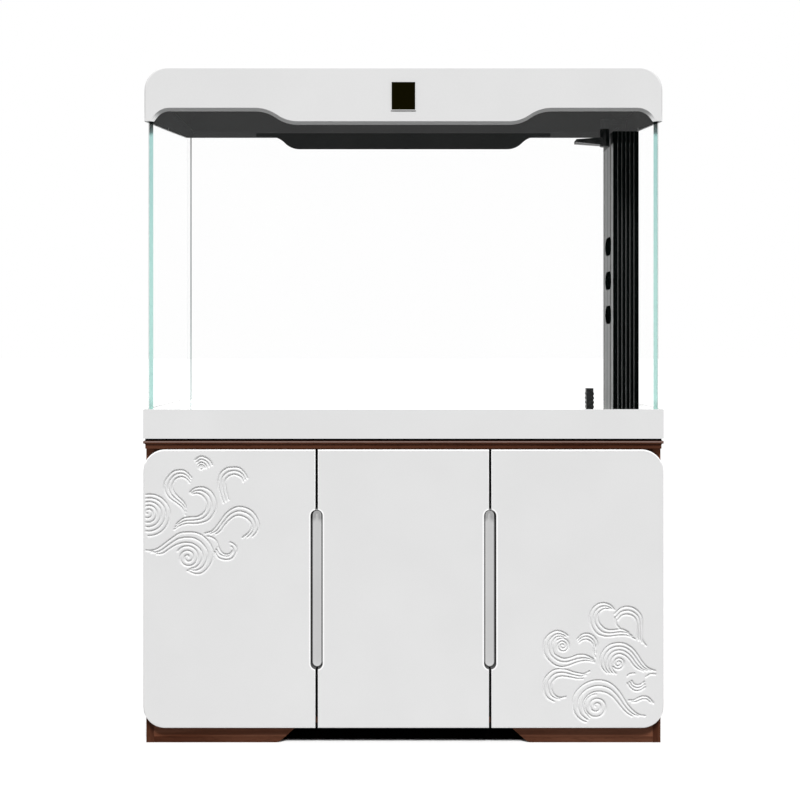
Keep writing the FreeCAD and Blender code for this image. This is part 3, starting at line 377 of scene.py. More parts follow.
# Painted shade: the pull pans' outer rim is a darker grey.
plain("trim_rim_painted_shade", grey(96), grey(104), 0.4, 0.1)
plain("grey_pipe", paint(120, 122, 124), paint(136, 138, 140), 0.4)
plain("lens", paint(228, 230, 232), paint(236, 238, 240), 0.25)
plain("rubber", paint(150, 150, 148), paint(170, 170, 168), 0.6)
plain("badge", paint(14, 12, 1), paint(19, 17, 3), 0.5, 0.0)
plain("badge_rim", grey(222), grey(230), 0.4, 0.1)
print("materials so far:", len(materials))

# %% [markdown]
# ## Lacquer and shade round the finger pulls
#
# Each finger pull is a capsule cut into two neighbouring doors, with a grey pan sunk in
# it. The distance from a capsule's middle line says where the lacquer round it gets a
# painted highlight, where its wall is painted dark as shade and where the black edge
# behind it is painted grey as light. Little light gets in beside a seam between two
# doors, so the lacquer there is painted dark as shade.

# %% The doors' lacquer and the stain behind the gaps
PULL_AT = 200 * MM
PULL_HIGH = 360.5 * MM
PULL_HALF = 170 * MM
PULL_RADIUS = 14 * MM
PULL_WALL = PULL_RADIUS + 0.2 * MM
PULL_PAINTED_GREY = PULL_RADIUS + 1 * MM
PULL_HIGHLIGHT = (PULL_RADIUS + 2.4 * MM, PULL_RADIUS + 4.4 * MM)
# The lacquer beside a seam between two doors is painted dark as shade.
SEAM = 2.6 * MM
SEAM_LIP = 3 * MM
SEAM_GREY = grey(64)


def from_seam(place):
    """How far a point lies to the side of the nearest seam between two doors."""
    return (place.part("X").size() - PULL_AT).size()


def from_pull(place):
    """How far a point lies from the nearest pull's middle line, seen from the front."""
    across = from_seam(place)
    along = ((place.part("Z") - PULL_HIGH).size() - PULL_HALF).larger(0)
    return (across * across + along * along).math("SQRT")


def lacquer(name):
    skin, place = start(name, shine=0.1)
    cloud = place.noise(6, 2)
    fine = place.noise(300, 2)
    reach = from_pull(place)
    white = (cloud * 0.7 + fine * 0.3).spread(0.3, 0.7).colours(grey(224), grey(227))
    # Painted highlight: a bright ring on the flat front round each pull.
    lip = 1 - reach.spread(*PULL_HIGHLIGHT)
    white = lip.colours(white, grey(253))
    # Painted shade: the notch's wall is dark grey.
    white = reach.below(PULL_WALL).colours(white, grey(84))
    finish_skin(
        skin,
        # Painted shade: dark grey beside a seam.
        Base_Color=from_seam(place).below(SEAM).colours(white, SEAM_GREY),
        Roughness=fine * 0.08 + cloud * 0.06 + 0.35,
        Normal=bump(fine, 0.05 * MM, 0.4),
    )


def bright(name):
    """The round edge of the lacquer, painted brighter as a highlight, and dark as shade beside a
    seam.
    """
    skin, place = start(name, shine=0.6)
    fine = place.noise(300, 2)
    white = fine.colours(grey(251), grey(254))
    finish_skin(
        skin,
        Base_Color=from_seam(place).below(SEAM_LIP).colours(white, SEAM_GREY),
        Roughness=fine * 0.08 + 0.28,
    )


def edged_black(name):
    skin, place = start(name, shine=0.0)
    fine = place.noise(300, 2)
    black = fine.colours(grey(1), grey(4))
    # Painted light: behind a pull the black edge is painted grey, lighter than the doors' shadow
    # would leave it.
    painted_grey = fine.colours(grey(120), grey(130))
    finish_skin(
        skin,
        Base_Color=from_pull(place).below(PULL_PAINTED_GREY).colours(black, painted_grey),
        Roughness=fine * 0.1 + 0.8,
    )


lacquer("white_lacquer")
bright("lip_painted_highlight")
edged_black("edge_black_painted_grey")
pull_reach = PULL_HALF + PULL_RADIUS
print("pull from", PULL_HIGH - pull_reach, "to", PULL_HIGH + pull_reach)

# %% [markdown]
# ## The overflow column
#
# Its front is black, with a painted highlight on its rib crests. Its left side, lit
# through the tank, has that light painted on as upright bands of grey, a pale strip at
# its front corner and a dark line beside it, and painted shade at the top of that side.
# The hood's brow is painted paler, with a painted glow, near the feet of its legs.

# %% The column's side and ribs, and the brow of the hood's legs
COLUMN_SHADE = (1.418, 1.424)
STRIP_END = (-49 * MM, -46 * MM)
LINE_AT = -40 * MM
LINE_HALF = 6.5 * MM
LEG_SHADE = (1.441, 1.463)


# Painted reflection: grey bands, a pale strip and a dark line on black plastic stand in for
# light from the tank; the top is painted black as shade near the hood.
def banded(name):
    skin, place = start(name, shine=0.1)
    depth = place.part("Y")
    bands = place.stretched(0, 1, 0.004).noise(55, 2)
    tone = bands.spread(0.38, 0.62).colours(grey(140), grey(205))
    strip = 1 - depth.spread(*STRIP_END)
    tone = strip.colours(tone, grey(222))
    line = (depth - LINE_AT).size().below(LINE_HALF)
    tone = line.colours(tone, grey(60))
    finish_skin(
        skin,
        Base_Color=place.part("Z").spread(*COLUMN_SHADE).colours(tone, grey(4)),
        Roughness=bands * 0.2 + 0.3,
    )


def brow(name):
    """Painted light: white with a glow near the foot of a leg, plain higher up, where the brow
    lies in shade.
    """
    skin, place = start(name, shine=0.1)
    fine = place.noise(300, 2)
    low = 1 - place.part("Z").spread(*LEG_SHADE)
    skin.inputs["Emission Strength"].default_value = PAINTED_GLOW
    finish_skin(
        skin,
        Base_Color=low.colours(fine.colours(grey(224), grey(227)), grey(254)),
        Roughness=fine * 0.08 + 0.35,
        Emission_Color=low.colours(grey(0), grey(165)),
    )


banded("column_side_painted_light")
brow("hood_leg_painted_light")
# Painted highlight on the rib crests of the column's black front.
plain("column_rib_highlight", grey(62), grey(68), 0.4, 0.05)
print("column and brow finishes added")

# %% Metals with a brushed grain


def metal(name, low, high, stretch, rough):
    skin, place = start(name, 0.5, Metallic=1.0)
    brushed = place.stretched(*stretch).noise(500, 3)
    finish_skin(
        skin,
        Base_Color=brushed.spread(0.3, 0.7).colours(low, high),
        Roughness=brushed * 0.2 + rough,
        Normal=bump(brushed, 0.02 * MM, 0.3),
    )


metal("steel", paint(170, 168, 164), paint(196, 194, 190), UPRIGHT, 0.22)
metal("aluminium", paint(190, 192, 194), paint(210, 212, 214), LEVEL, 0.3)
print("steel and aluminium added")

# %% Filter media: pale porous crumbs


def porous(name):
    skin, place = start(name, 0.1)
    taken = {"Vector": place, "Scale": 60.0}
    cells = place.node("ShaderNodeTexVoronoi", {}, taken)
    grit = place.noise(400, 3)
    tone = cells.spread(0.05, 0.6) * 0.7 + grit * 0.3
    finish_skin(
        skin,
        Base_Color=tone.colours(paint(196, 178, 150), paint(112, 92, 70)),
        Roughness=grit * 0.2 + 0.75,
        Normal=bump(1 - cells, 4 * MM, 0.8),
    )


porous("media")
print("media material added")

# %% [markdown]
# ## Glass
#
# Float glass is clear through its face and sea-green through its edge, because along
# the edge the light passes through a long path of glass. Two materials say this: a face
# that is almost invisible, and an edge whose green changes with height, with painted
# shade near the top where the hood covers it. The edges that stand at the tank's back
# are nearly clear, because little light enters them. The floor pane has more tint and
# gloss than the others.

# %% Clear faces and green edges
EDGE_DEEPER = (1.03, 1.38)
EDGE_IN_HOOD = (1.41, 1.443)
EDGE_IN_SKIRT = (0.775, 0.805)
FRONT_EDGE = (-208 * MM, -190 * MM)
SIDE_EDGE = 582 * MM
BEAD_SHADE = (1.38, 1.49)


def glass_face(name):
    skin, place = start(name, 0.0)
    ripple = place.noise(4, 2)
    finish_skin(
        skin,
        Base_Color=ripple.colours(paint(120, 150, 146), paint(130, 160, 156)),
        Alpha=ripple.spread(0.2, 0.8) * 0.002 + 0.002,
        Roughness=ripple * 0.04 + 0.03,
    )


def glass_edge(name):
    skin, place = start(name, 0.1)
    height = place.part("Z")
    ripple = place.stretched(1, 1, 0.2).noise(60, 2) * 0.1
    deeper = height.spread(*EDGE_DEEPER) + ripple
    green = deeper.colours(paint(180, 222, 215), paint(166, 209, 205))
    # Painted shade: the edge turns dark green at the top, where the hood covers the glass.
    green = height.spread(*EDGE_IN_HOOD).colours(green, paint(16, 34, 30))
    green = (1 - height.spread(*EDGE_IN_SKIRT)).colours(green, paint(143, 181, 173))
    depth = place.part("Y")
    across = place.part("X").size()
    edge = between(depth, *FRONT_EDGE) * across.above(SIDE_EDGE)
    outer = depth.below(FRONT_EDGE[0])
    finish_skin(
        skin,
        Base_Color=green,
        Alpha=edge * 0.92 + outer * 0.3 + 0.03,
        Roughness=ripple + 0.15,
    )


def silicone(name):
    skin, place = start(name, 0.1)
    ripple = place.stretched(1, 1, 0.3).noise(90, 2)
    pale = ripple.colours(paint(196, 216, 213), paint(206, 225, 222))
    finish_skin(
        skin,
        Base_Color=place.part("Z").spread(*BEAD_SHADE).colours(pale, paint(80, 90, 87)),
        Roughness=ripple * 0.1 + 0.3,
    )


def floor_glass(name):
    skin, place = start(name, 0.5)
    ripple = place.noise(4, 2)
    finish_skin(
        skin,
        Base_Color=ripple.colours(paint(150, 176, 171), paint(160, 186, 181)),
        Alpha=ripple * 0.06 + 0.16,
        Roughness=ripple * 0.05 + 0.08,
    )


glass_face("glass")
floor_glass("floor_glass")
glass_edge("glass_edge")
silicone("silicone")
print("materials in all:", len(materials))

# %% [markdown]
# ## Clean copies of the CAD pieces
#
# The CAD meshes are loose triangles. A clean copy joins them, melts flat triangles
# into whole faces, rounds sharp board edges a little and shades the curves smoothly. An
# edge stays sharp where its faces meet steeply or have different finishes.

# %% Cleaning one piece
JOIN = 0.002 * MM
FLAT_WITHIN = math.radians(0.5)
SHARP_OVER = math.radians(40)


def opened(node, melt=True):
    """The node's mesh as joined faces."""
    shape = bmesh.new()
    shape.from_mesh(nodes[node].data)
    bmesh.ops.remove_doubles(shape, verts=shape.verts, dist=JOIN)
    if melt:
        bmesh.ops.dissolve_limit(
            shape,
            angle_limit=FLAT_WITHIN,
            verts=shape.verts,
            edges=shape.edges,
        )
    return shape


def soften(shape, radius):
    """Rounds the sharp outward edges."""
    sharp = [
        edge
        for edge in shape.edges
        if len(edge.link_faces) == 2 and edge.calc_face_angle_signed(0) > SHARP_OVER
    ]
    bmesh.ops.bevel(
        shape,
        geom=sharp,
        offset=radius,
        segments=2,
        profile=0.5,
        affect="EDGES",
        clamp_overlap=True,
        material=-1,
    )


CREASE = math.radians(32)
CARVED_CREASE = math.radians(60)


def shade(shape, crease):
    """Shades the mesh smoothly, except at creases and where the finish changes."""
    for face in shape.faces:
        face.smooth = True
    for edge in shape.edges:
        finishes = {face.material_index for face in edge.link_faces}
        edge.smooth = edge.calc_face_angle(math.pi) < crease and len(finishes) == 1


def shown(shape, name, body, stands_for, finishes, crease=CREASE):
    """Puts a finished mesh in the scene in place of its CAD nodes."""
    shade(shape, crease)
    mesh = bpy.data.meshes.new(name)
    shape.to_mesh(mesh)
    shape.free()
    made = bpy.data.objects.new(name, mesh)
    scene.collection.objects.link(made)
    for finish in finishes:
        mesh.materials.append(materials[finish])
    if crease == CREASE:
        weighted = made.modifiers.new("flats_stay_flat", "WEIGHTED_NORMAL")
        weighted.keep_sharp = True
    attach(made, body)
    if stands_for:
        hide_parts(stands_for)
    return made


slots = {row["node"]: row["material_slot"] for row in frame["record"]["subparts"]}
bodies = {
    node: body
    for body, group in frame["record"]["behaviour"]["bodies"].items()
    for node in group
}


def replace_node(node, shape, finishes):
    return shown(shape, node + "_shown", bodies[node], node, finishes)


def clean_copy(node, finish=None, edge=0.0):
    shape = opened(node)
    if edge:
        soften(shape, edge)
    return replace_node(node, shape, [finish or slots[node]])


def two_tone(node, other, finish, is_other):
    """A clean copy with the faces picked by is_other in another finish."""
    shape = opened(node)
    for face in shape.faces:
        if is_other(face):
            face.material_index = 1
    return replace_node(node, shape, [finish, other])


print("nodes with a material slot:", len(slots))

# %% Boards with softened edges
BOARD_EDGE = 0.7 * MM
boards = {
    "back_panel": "walnut",
    "cornice_board": "walnut_cornice_highlight",
    "top_rails": "walnut_level",
    "base_board": "walnut_base_painted_light",
    "base_bearers": "walnut_deep",
    "shelf_board": "walnut_level",
    "toe_kick": "black_board",
    "filter_media": "media",
}
for node, finish in boards.items():
    clean_copy(node, finish, BOARD_EDGE)
print("boards:", len(boards))

# %% Curved pieces shaded smoothly
smooth = [
    "port_grommets",
    "shelf_pins",
    "levelling_mat",
    "door_bumpers",
    "bulkhead_fittings",
    "drain_standpipe",
    "drain_pipe",
    "return_pipe",
    "suction_strainer",
    "media_tray",
    "return_pump",
    "lamp_housing",
    "lamp_diffuser",
    "lamp_brackets",
    "cover_hinge_leaves",
    "lid_hinge_leaves",
    "lid_hinge_pins",
]
for node in smooth:
    clean_copy(node)
for side in ("left", "middle", "right"):
    for part in ("cups", "pins", "arms"):
        clean_copy(side + "_hinge_" + part)
clean_copy("return_nozzle", "black_plastic")
clean_copy("riser_pipe", "hood_plastic")
clean_copy("hood_liner", "hood_plastic")
clean_copy("hood_hump_panel", "hump_plastic")
print("smooth pieces:", len(smooth) + 13)

# %% Pieces with a second finish on some of their faces
HOOD_MIDDLE = 1.5
RIM_FRONT = -215.5 * MM
RIB_FRONT = -71.5 * MM
OUTER_SIDE = 595 * MM
LEG_FROM = 530 * MM


def faces_hollow(face):
    """Whether a face of the hood looks into the hood's own hollow."""
    spot = face.calc_center_median()
    if abs(face.normal.y) > 0.5:
        return face.normal.y * spot.y < -0.1
    inward = face.normal.x * spot.x + face.normal.z * (spot.z - HOOD_MIDDLE)
    return abs(face.normal.y) < 0.1 and inward < -0.001


def faces_tank(face):
    """Whether a face of the skirt looks in at the tank."""
    spot = face.calc_center_median()
    return face.normal.x * spot.x + face.normal.y * spot.y < -0.01


def faces_front(face):
    return face.normal.y < -0.9


def is_rim(face):
    """Whether a face is the pan's outer rim."""
    return faces_front(face) and face.calc_center_median().y < RIM_FRONT


def is_lip(face):
    """Whether a face belongs to a door's rounded edge, but not at the unit's sides."""
    outer = abs(face.calc_center_median().x) > OUTER_SIDE and abs(face.normal.x) > 0.1
    return -0.98 < face.normal.y < -0.02 and not outer


def is_leg_brow(face):
    """Whether a face is part of the brow where it runs down a leg of the hood."""
    spot = face.calc_center_median()
    return -0.8 < face.normal.y < -0.6 and abs(spot.x) > LEG_FROM


two_tone("hood_cover", "hood_plastic", "white_plastic", faces_hollow)
lid = opened("hood_lid_shell")
for face in lid.faces:
    face.material_index = 1 if faces_hollow(face) else 2 if is_leg_brow(face) else 0
replace_node("hood_lid_shell", lid, ["white_plastic", "hood_plastic", "hood_leg_painted_light"])
for node in ("left_side_panel", "right_side_panel"):
    two_tone(node, "walnut_side_painted_light", "walnut", faces_front)
for node in ("left_partition", "right_partition", "floor_board"):
    two_tone(node, "edge_black_painted_grey", "walnut", faces_front)
for node in ("left_pull_pan", "right_pull_pan"):
    two_tone(node, "trim_rim_painted_shade", "grey_trim", is_rim)
two_tone("tank_skirt", "painted_lit_plastic", "white_plastic", faces_tank)
two_tone("middle_door_panel", "lip_painted_highlight", "white_lacquer", is_lip)
column = opened("overflow_column")
for face in column.faces:
    if face.normal.x < -0.9:
        face.material_index = 1
    elif faces_front(face):
        face.material_index = 3 if face.calc_center_median().y < RIB_FRONT else 2
column_finishes = ["black_plastic", "column_side_painted_light", "column_front", "column_rib_highlight"]
replace_node("overflow_column", column, column_finishes)
print("pieces with two finishes or more: 12")

# %% Glass with its edges picked out
SUMP_RIM = 390 * MM


def glass_copy(node, thin):
    """Faces across the thin axis are clear; all the others are edges."""
    clear = "floor_glass" if node == "bottom_pane" else "glass"
    shape = opened(node)
    for face in shape.faces:
        face.material_index = 0 if abs(face.normal[thin]) > 0.9 else 1
    return replace_node(node, shape, [clear, "glass_edge"])


panes = {"front_pane": 1, "back_pane": 1, "left_pane": 0, "right_pane": 0, "bottom_pane": 2}
for node, thin in panes.items():
    glass_copy(node, thin)
sump = opened("sump_tank")
for face in sump.faces:
    on_rim = face.normal.z > 0.9 and face.calc_center_median().z > SUMP_RIM
    face.material_index = 1 if on_rim else 0
replace_node("sump_tank", sump, ["glass", "glass_edge"])
print("glass pieces:", len(panes) + 1)

# %% Beads of silicone in the tank's back corners
BEAD = 2.3 * MM
BEAD_TOP = 1.499
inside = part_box("left_pane")[1].x
glass_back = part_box("back_pane")[0].y
glass_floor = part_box("bottom_pane")[1].z
for side, name in ((-1, "left_bead"), (1, "right_bead")):
    bead = bmesh.new()
    corners = [(0, 0), (BEAD, 0), (0, -BEAD)]
    ring = [
        bead.verts.new((side * (abs(inside) - across), glass_back + along, glass_floor))
        for across, along in corners
    ]
    foot = bead.faces.new(ring)
    raised = bmesh.ops.extrude_face_region(bead, geom=[foot])
    top = [part for part in raised["geom"] if isinstance(part, bmesh.types.BMVert)]
    bmesh.ops.translate(bead, verts=top, vec=(0, 0, BEAD_TOP - glass_floor))
    bmesh.ops.recalc_face_normals(bead, faces=bead.faces)
    shown(bead, name, "cabinet", None, ["silicone"])
print("beads up to", BEAD_TOP, "m")

# %% [markdown]
# ## The badge
#
# The plate keeps a thin raised rim, and its field lies a little lower.

# %% A rim round the badge
RIM_WIDE = 2.2 * MM
RIM_SLOPE = 0.05 * MM
FIELD_DEEP = 0.4 * MM
badge = opened("badge_plate")
front_face = min(badge.faces, key=lambda face: face.calc_center_median().y)
inset = bmesh.ops.inset_region(badge, faces=[front_face], thickness=RIM_WIDE, depth=0)
for face in inset["faces"]:
    face.material_index = 1
lowered = bmesh.ops.inset_region(
    badge, faces=[front_face], thickness=RIM_SLOPE, depth=-FIELD_DEEP
)
for face in lowered["faces"]:
    face.material_index = 0
shown(badge, "badge_shown", "hood_lid", "badge_plate", ["badge", "badge_rim"])
print("badge rim:", RIM_WIDE / MM, "mm")

# %% [markdown]
# ## The carved clouds
#
# Each scroll of cloud is a family of grooves that run side by side. Two guide strokes
# give the outermost and innermost groove; those between are found by blending them.
# A stroke is a few points, in millimetres from the door's lower left corner, that a
# smooth curve passes through.

# %% A smooth curve through a few points
STEPS = 10
STROKE_SPOTS = 160
TURN_SPOTS = 200


def curve(points):
    """A Catmull-Rom curve through the points."""
    spots = [Vector(point) for point in points]
    spots = [2 * spots[0] - spots[1], *spots, 2 * spots[-1] - spots[-2]]
    found = []
    for before, first, second, after in zip(spots, spots[1:], spots[2:], spots[3:]):
        for step in range(STEPS):
            t = step / STEPS
            pull = (second - before) * t
            bend = (2 * before - 5 * first + 4 * second - after) * t**2
            swing = (3 * first - before - 3 * second + after) * t**3
            found.append(first + (pull + bend + swing) / 2)
    found.append(spots[-2])
    return found


def evenly(found, count):
    """The same curve as count points at equal distances along it."""
    runs = [0.0]
    for first, second in zip(found, found[1:]):
        runs.append(runs[-1] + (second - first).length)
    spots = []
    at = 0
    for number in range(count):
        wanted = runs[-1] * number / (count - 1)
        while at < len(found) - 2 and runs[at + 1] < wanted:
            at += 1
        share = (wanted - runs[at]) / max(runs[at + 1] - runs[at], 1e-9)
        spots.append(found[at].lerp(found[at + 1], min(share, 1)))
    return spots


def scroll(centre, inner, outer, turns, begin, drift=(0, 0), hand=-1):
    """A spiral that widens from its inner radius; hand -1 turns it clockwise."""
    spots = []
    count = int(turns * TURN_SPOTS)
    for number in range(count + 1):
        t = number / count
        angle = math.radians(begin) + hand * t * turns * math.tau
        reach = inner + (outer - inner) * t
        middle = Vector(centre) + Vector(drift) * t
        spots.append(middle + reach * Vector((math.cos(angle), math.sin(angle))))
    return spots


def cloud(lines, outer, inner):
    """Blends the outer and inner strokes into a family of grooves."""
    first = evenly(curve(outer), STROKE_SPOTS)
    last = evenly(curve(inner), STROKE_SPOTS)
    family = []
    for line in range(lines):
        t = line / (lines - 1)
        family.append([a.lerp(b, t) for a, b in zip(first, last)])
    return family


print("curve steps:", STEPS)

# %% The clouds of the left door
left_clouds = [
    scroll((134, 601), 2, 7, 1.6, 200),
    *cloud(3, [(120, 618), (126, 623), (134, 626), (146, 622), (155, 614), (159, 606)],
           [(127, 608), (132, 612), (138, 611), (144, 606), (146, 600)]),
    *cloud(3, [(111, 577), (102, 588), (92, 594), (78, 594), (67, 589), (56, 577), (50, 564),
               (49, 551), (53, 540), (62, 529), (84, 513), (93, 502), (97, 490)],
           [(107, 566), (99, 575), (88, 579), (76, 575), (70, 566), (67, 555), (70, 545),
            (79, 534), (89, 525), (96, 516), (99, 507)]),
    *cloud(3, [(240, 576), (233, 589), (222, 599), (206, 601), (191, 598), (179, 587),
               (174, 570), (174, 557), (177, 544), (185, 519)],
           [(231, 568), (226, 578), (214, 584), (206, 584), (197, 580), (190, 572), (189, 563),
            (191, 547), (194, 536), (197, 526)]),
    *cloud(3, [(108, 543), (116, 551), (128, 555), (141, 554), (155, 546), (164, 532),
               (168, 517), (167, 503), (161, 491), (151, 480), (138, 474), (120, 471),
               (101, 471), (86, 467), (72, 458)],
           [(114, 539), (124, 541), (136, 536), (144, 526), (147, 515), (145, 503), (136, 493),
            (124, 487), (109, 486), (95, 484), (84, 477), (77, 470)]),
    scroll((11, 497), 3, 50, 4.95, 250, (3, -4)),
    *cloud(3, [(5, 410), (19, 409), (34, 414), (51, 426), (67, 438), (82, 448), (97, 451),
               (116, 451), (132, 446), (145, 436), (155, 423), (161, 408), (161, 392),
               (155, 377), (145, 364), (132, 356), (118, 356), (102, 363)],
           [(31, 401), (46, 403), (61, 413), (76, 422), (93, 427), (111, 426), (124, 419),
            (134, 408), (137, 394), (132, 381), (122, 371), (111, 368)]),
    scroll((103, 394), 2, 27, 2.4, 6, hand=1),
    *cloud(3, [(143, 449), (157, 453), (168, 463), (180, 479), (191, 494), (205, 505),
               (220, 510), (237, 507), (252, 498), (263, 482), (267, 465), (262, 452),
               (252, 441)],
           [(168, 447), (180, 456), (189, 469), (201, 481), (214, 489), (226, 489), (239, 483),
            (248, 473), (250, 461), (243, 450), (229, 439)]),
    curve([(149, 442), (159, 439), (168, 432), (173, 419), (177, 410)]),
    *cloud(3, [(165, 406), (172, 394), (183, 389), (195, 388), (206, 392), (214, 404),
               (216, 413), (210, 423), (201, 428)],
           [(172, 417), (178, 408), (187, 401), (197, 401), (203, 405), (206, 409)]),
]
print("grooves on the left door:", len(left_clouds))

# %% The clouds of the right door
right_clouds = [
    *cloud(3, [(284, 273), (275, 283), (261, 288), (248, 286), (236, 277), (229, 262),
               (228, 247), (233, 232), (244, 218), (258, 212), (273, 211), (290, 213),
               (307, 214), (321, 211), (332, 205)],
           [(275, 274), (263, 275), (252, 269), (246, 259), (248, 245), (256, 234), (267, 227),
            (282, 226), (298, 228), (309, 225), (317, 220)]),
    *cloud(3, [(285, 263), (296, 274), (307, 279), (321, 279), (334, 273), (344, 262),
               (348, 249), (348, 228), (348, 205), (357, 190)],
           [(293, 249), (300, 258), (311, 262), (323, 260), (332, 253), (336, 241), (337, 224),
            (337, 211), (340, 203)]),
    curve([(286, 255), (289, 239), (297, 230)]),
    *cloud(3, [(177, 213), (167, 220), (152, 224), (137, 218), (125, 205), (122, 190),
               (123, 172), (133, 157), (146, 146), (162, 141), (179, 144), (192, 149),
               (208, 154), (223, 155), (238, 152)],
           [(167, 209), (160, 211), (150, 209), (143, 199), (141, 186), (145, 172), (156, 164),
            (169, 160), (185, 163), (198, 168), (212, 169), (223, 166), (236, 159)]),
    scroll((165, 190), 2, 17, 2.3, 30, hand=1),
    *cloud(3, [(199, 205), (208, 214), (219, 218), (231, 215), (240, 207), (245, 195),
               (242, 182)],
           [(204, 197), (212, 203), (221, 204), (229, 200), (235, 192), (236, 178), (240, 163)]),
    *cloud(4, [(267, 127), (259, 134), (253, 145), (252, 160), (257, 174), (265, 185),
               (277, 193), (292, 196), (309, 194), (325, 184), (336, 171), (348, 153),
               (361, 139), (378, 132)],
           [(288, 125), (281, 133), (277, 145), (278, 157), (285, 167), (296, 171), (308, 167),
            (318, 158), (327, 146), (337, 137), (351, 131)]),
    scroll((294, 150), 2, 15, 1.9, 180),
    *cloud(3, [(314, 103), (321, 93), (332, 86), (344, 87), (355, 94)],
           [(324, 109), (329, 102), (338, 99), (348, 102), (353, 107)]),
    curve([(314, 120), (321, 125), (331, 126)]),
    curve([(357, 118), (367, 124), (379, 124)]),
    *cloud(3, [(227, 131), (215, 125), (204, 126), (190, 129), (175, 134), (160, 136),
               (146, 134), (133, 125), (124, 113), (122, 98), (123, 82), (131, 69), (145, 61)],
           [(212, 114), (198, 114), (187, 116), (175, 118), (162, 119), (150, 115), (141, 104),
            (139, 92), (143, 80), (152, 72), (162, 70), (172, 72)]),
    *cloud(3, [(355, 28), (340, 31), (325, 42), (311, 59), (298, 80), (284, 96), (269, 106),
               (252, 110), (235, 109), (217, 102), (202, 90), (192, 75), (189, 57), (190, 42),
               (198, 27), (210, 17), (219, 14)],
           [(325, 27), (311, 36), (298, 50), (286, 65), (273, 77), (258, 83), (244, 84),
            (229, 79), (217, 67), (212, 52), (215, 38), (227, 24)]),
    scroll((243, 51), 3, 29, 2.3, 200, (0, -2)),
    *cloud(2, [(317, 64), (328, 64), (338, 69), (349, 73), (361, 71), (370, 63), (374, 57)],
           [(325, 60), (336, 61), (348, 66), (359, 66), (367, 59)]),
]
print("grooves on the right door:", len(right_clouds))

# %% [markdown]
# ## Carving a door
#
# The flat of the door's front is taken out and a fine grid put in its place. Each point
# of the grid is then pushed in by the depth of the nearest groove. The grid follows the
# round corners and the finger pull's notch, so it covers the flat and nothing more. The
# figures here are millimetres on the door, as in the strokes above.

# %% The outline of the door's flat front
DOOR_WIDE = 398
DOOR_TALL = 642
EDGE = 3.4
CORNER = 50
NOTCH_AT = 319.5
NOTCH_HALF = 170
NOTCH_RADIUS = 14.4
NOTCH_PAST = 2
FINE_STEP = 1.35


def sides(z):
    """The flat's left and right limits at a height, for a door pulled on its right."""
    left = EDGE
    over = max(abs(z - DOOR_TALL / 2) - (DOOR_TALL / 2 - CORNER), 0)
    if over:
        left = CORNER - math.sqrt(max((CORNER - EDGE) ** 2 - over**2, 0))
    past = max(abs(z - NOTCH_AT) - NOTCH_HALF, 0)
    notch = math.sqrt(max(NOTCH_RADIUS**2 - past**2, 0))
    right = min(DOOR_WIDE - EDGE, DOOR_WIDE + NOTCH_PAST - notch)
    return left, right


def ticks(start_at, end_at, fine, wide):
    """Positions from start to end, close together inside the fine stretches."""
    found = [start_at]
    while found[-1] < end_at:
        near = any(low <= found[-1] < high for low, high in fine)
        stops = [low for low, high in fine if low > found[-1]]
        found.append(min([found[-1] + (FINE_STEP if near else wide), end_at, *stops]))
    if found[-1] - found[-2] < FINE_STEP / 2:
        del found[-2]
    return found


print("flat front at mid height:", sides(DOOR_TALL / 2))

# %% Pressing the grooves into a fine grid
GROOVE_HALF = 2.9
GROOVE_DEEP = 3.6
FADE_WIDE = 5


def groove_map(grooves):
    """A search tree that finds the groove spot nearest to a point."""
    spots = [spot for groove in grooves for spot in groove]
    nearest = kdtree.KDTree(len(spots))
    for number, spot in enumerate(spots):
        nearest.insert((spot.x, spot.y, 0), number)
    nearest.balance()
    return nearest


def groove_depth(nearest, x, z, left, right):
    """A groove's rounded profile, which fades out near the edges of the flat."""
    gap = nearest.find((x, z, 0))[2]
    rim = min(x - left, right - x, z, DOOR_TALL - z)
    fade = min(max(rim / FADE_WIDE, 0), 1)
    return GROOVE_DEEP * fade * (1 + math.cos(math.pi * min(gap / GROOVE_HALF, 1))) / 2


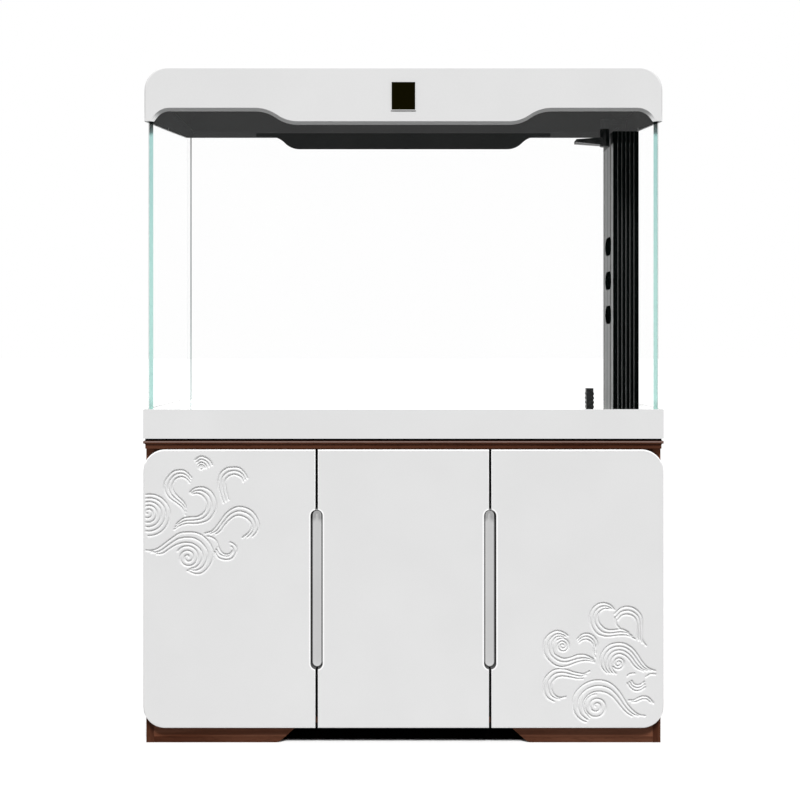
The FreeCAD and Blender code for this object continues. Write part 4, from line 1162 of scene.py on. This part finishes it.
def without_flat(node, front):
    """The door's mesh with its flat front taken out and its lip marked."""
    shape = opened(node, melt=False)
    flat = [
        face
        for face in shape.faces
        if all(abs(corner.co.y - front) < 0.01 * MM for corner in face.verts)
    ]
    bmesh.ops.delete(shape, geom=flat, context="FACES")
    for face in shape.faces:
        if is_lip(face):
            face.material_index = 1
    return shape


def carve(node, grooves, columns, rows, pull_on_right):
    """A copy of the door's panel with a carved front."""
    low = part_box(node)[0]
    shape = without_flat(node, low.y)
    nearest = groove_map(grooves)
    grid = bmesh.ops.create_grid(
        shape, x_segments=len(columns) - 1, y_segments=len(rows) - 1, size=1
    )
    for number, corner in enumerate(grid["verts"]):
        z = rows[number // len(columns)]
        share = columns[number % len(columns)] / DOOR_WIDE
        left, right = sides(z)
        if not pull_on_right:
            left, right = DOOR_WIDE - right, DOOR_WIDE - left
        x = left + share * (right - left)
        depth = groove_depth(nearest, x, z, left, right)
        corner.co = (low.x + x * MM, low.y + depth * MM, low.z + z * MM)
    open_edges = [edge for edge in shape.edges if edge.is_boundary]
    bmesh.ops.triangle_fill(shape, edges=open_edges, use_beauty=True, normal=(0, -1, 0))
    bmesh.ops.recalc_face_normals(shape, faces=shape.faces)
    print(node, "faces:", len(shape.faces))
    name = node + "_carved"
    finishes = ["white_lacquer", "lip_painted_highlight"]
    return shown(shape, name, bodies[node], node, finishes, CARVED_CREASE)


# %% Both carved doors
WIDE_COLUMN = 20
WIDE_ROW = 12
pull_ends = [(130, 158), (481, 509)]
left_columns = ticks(0, DOOR_WIDE, [(0, 292)], WIDE_COLUMN)
left_rows = ticks(EDGE, DOOR_TALL - EDGE, [(350, 640), *pull_ends], WIDE_ROW)
carve("left_door_panel", left_clouds, left_columns, left_rows, True)
right_columns = ticks(0, DOOR_WIDE, [(95, DOOR_WIDE)], WIDE_COLUMN)
right_rows = ticks(EDGE, DOOR_TALL - EDGE, [(0, 296), *pull_ends], WIDE_ROW)
carve("right_door_panel", right_clouds, right_columns, right_rows, False)

# %% The finished box
bpy.context.view_layer.update()
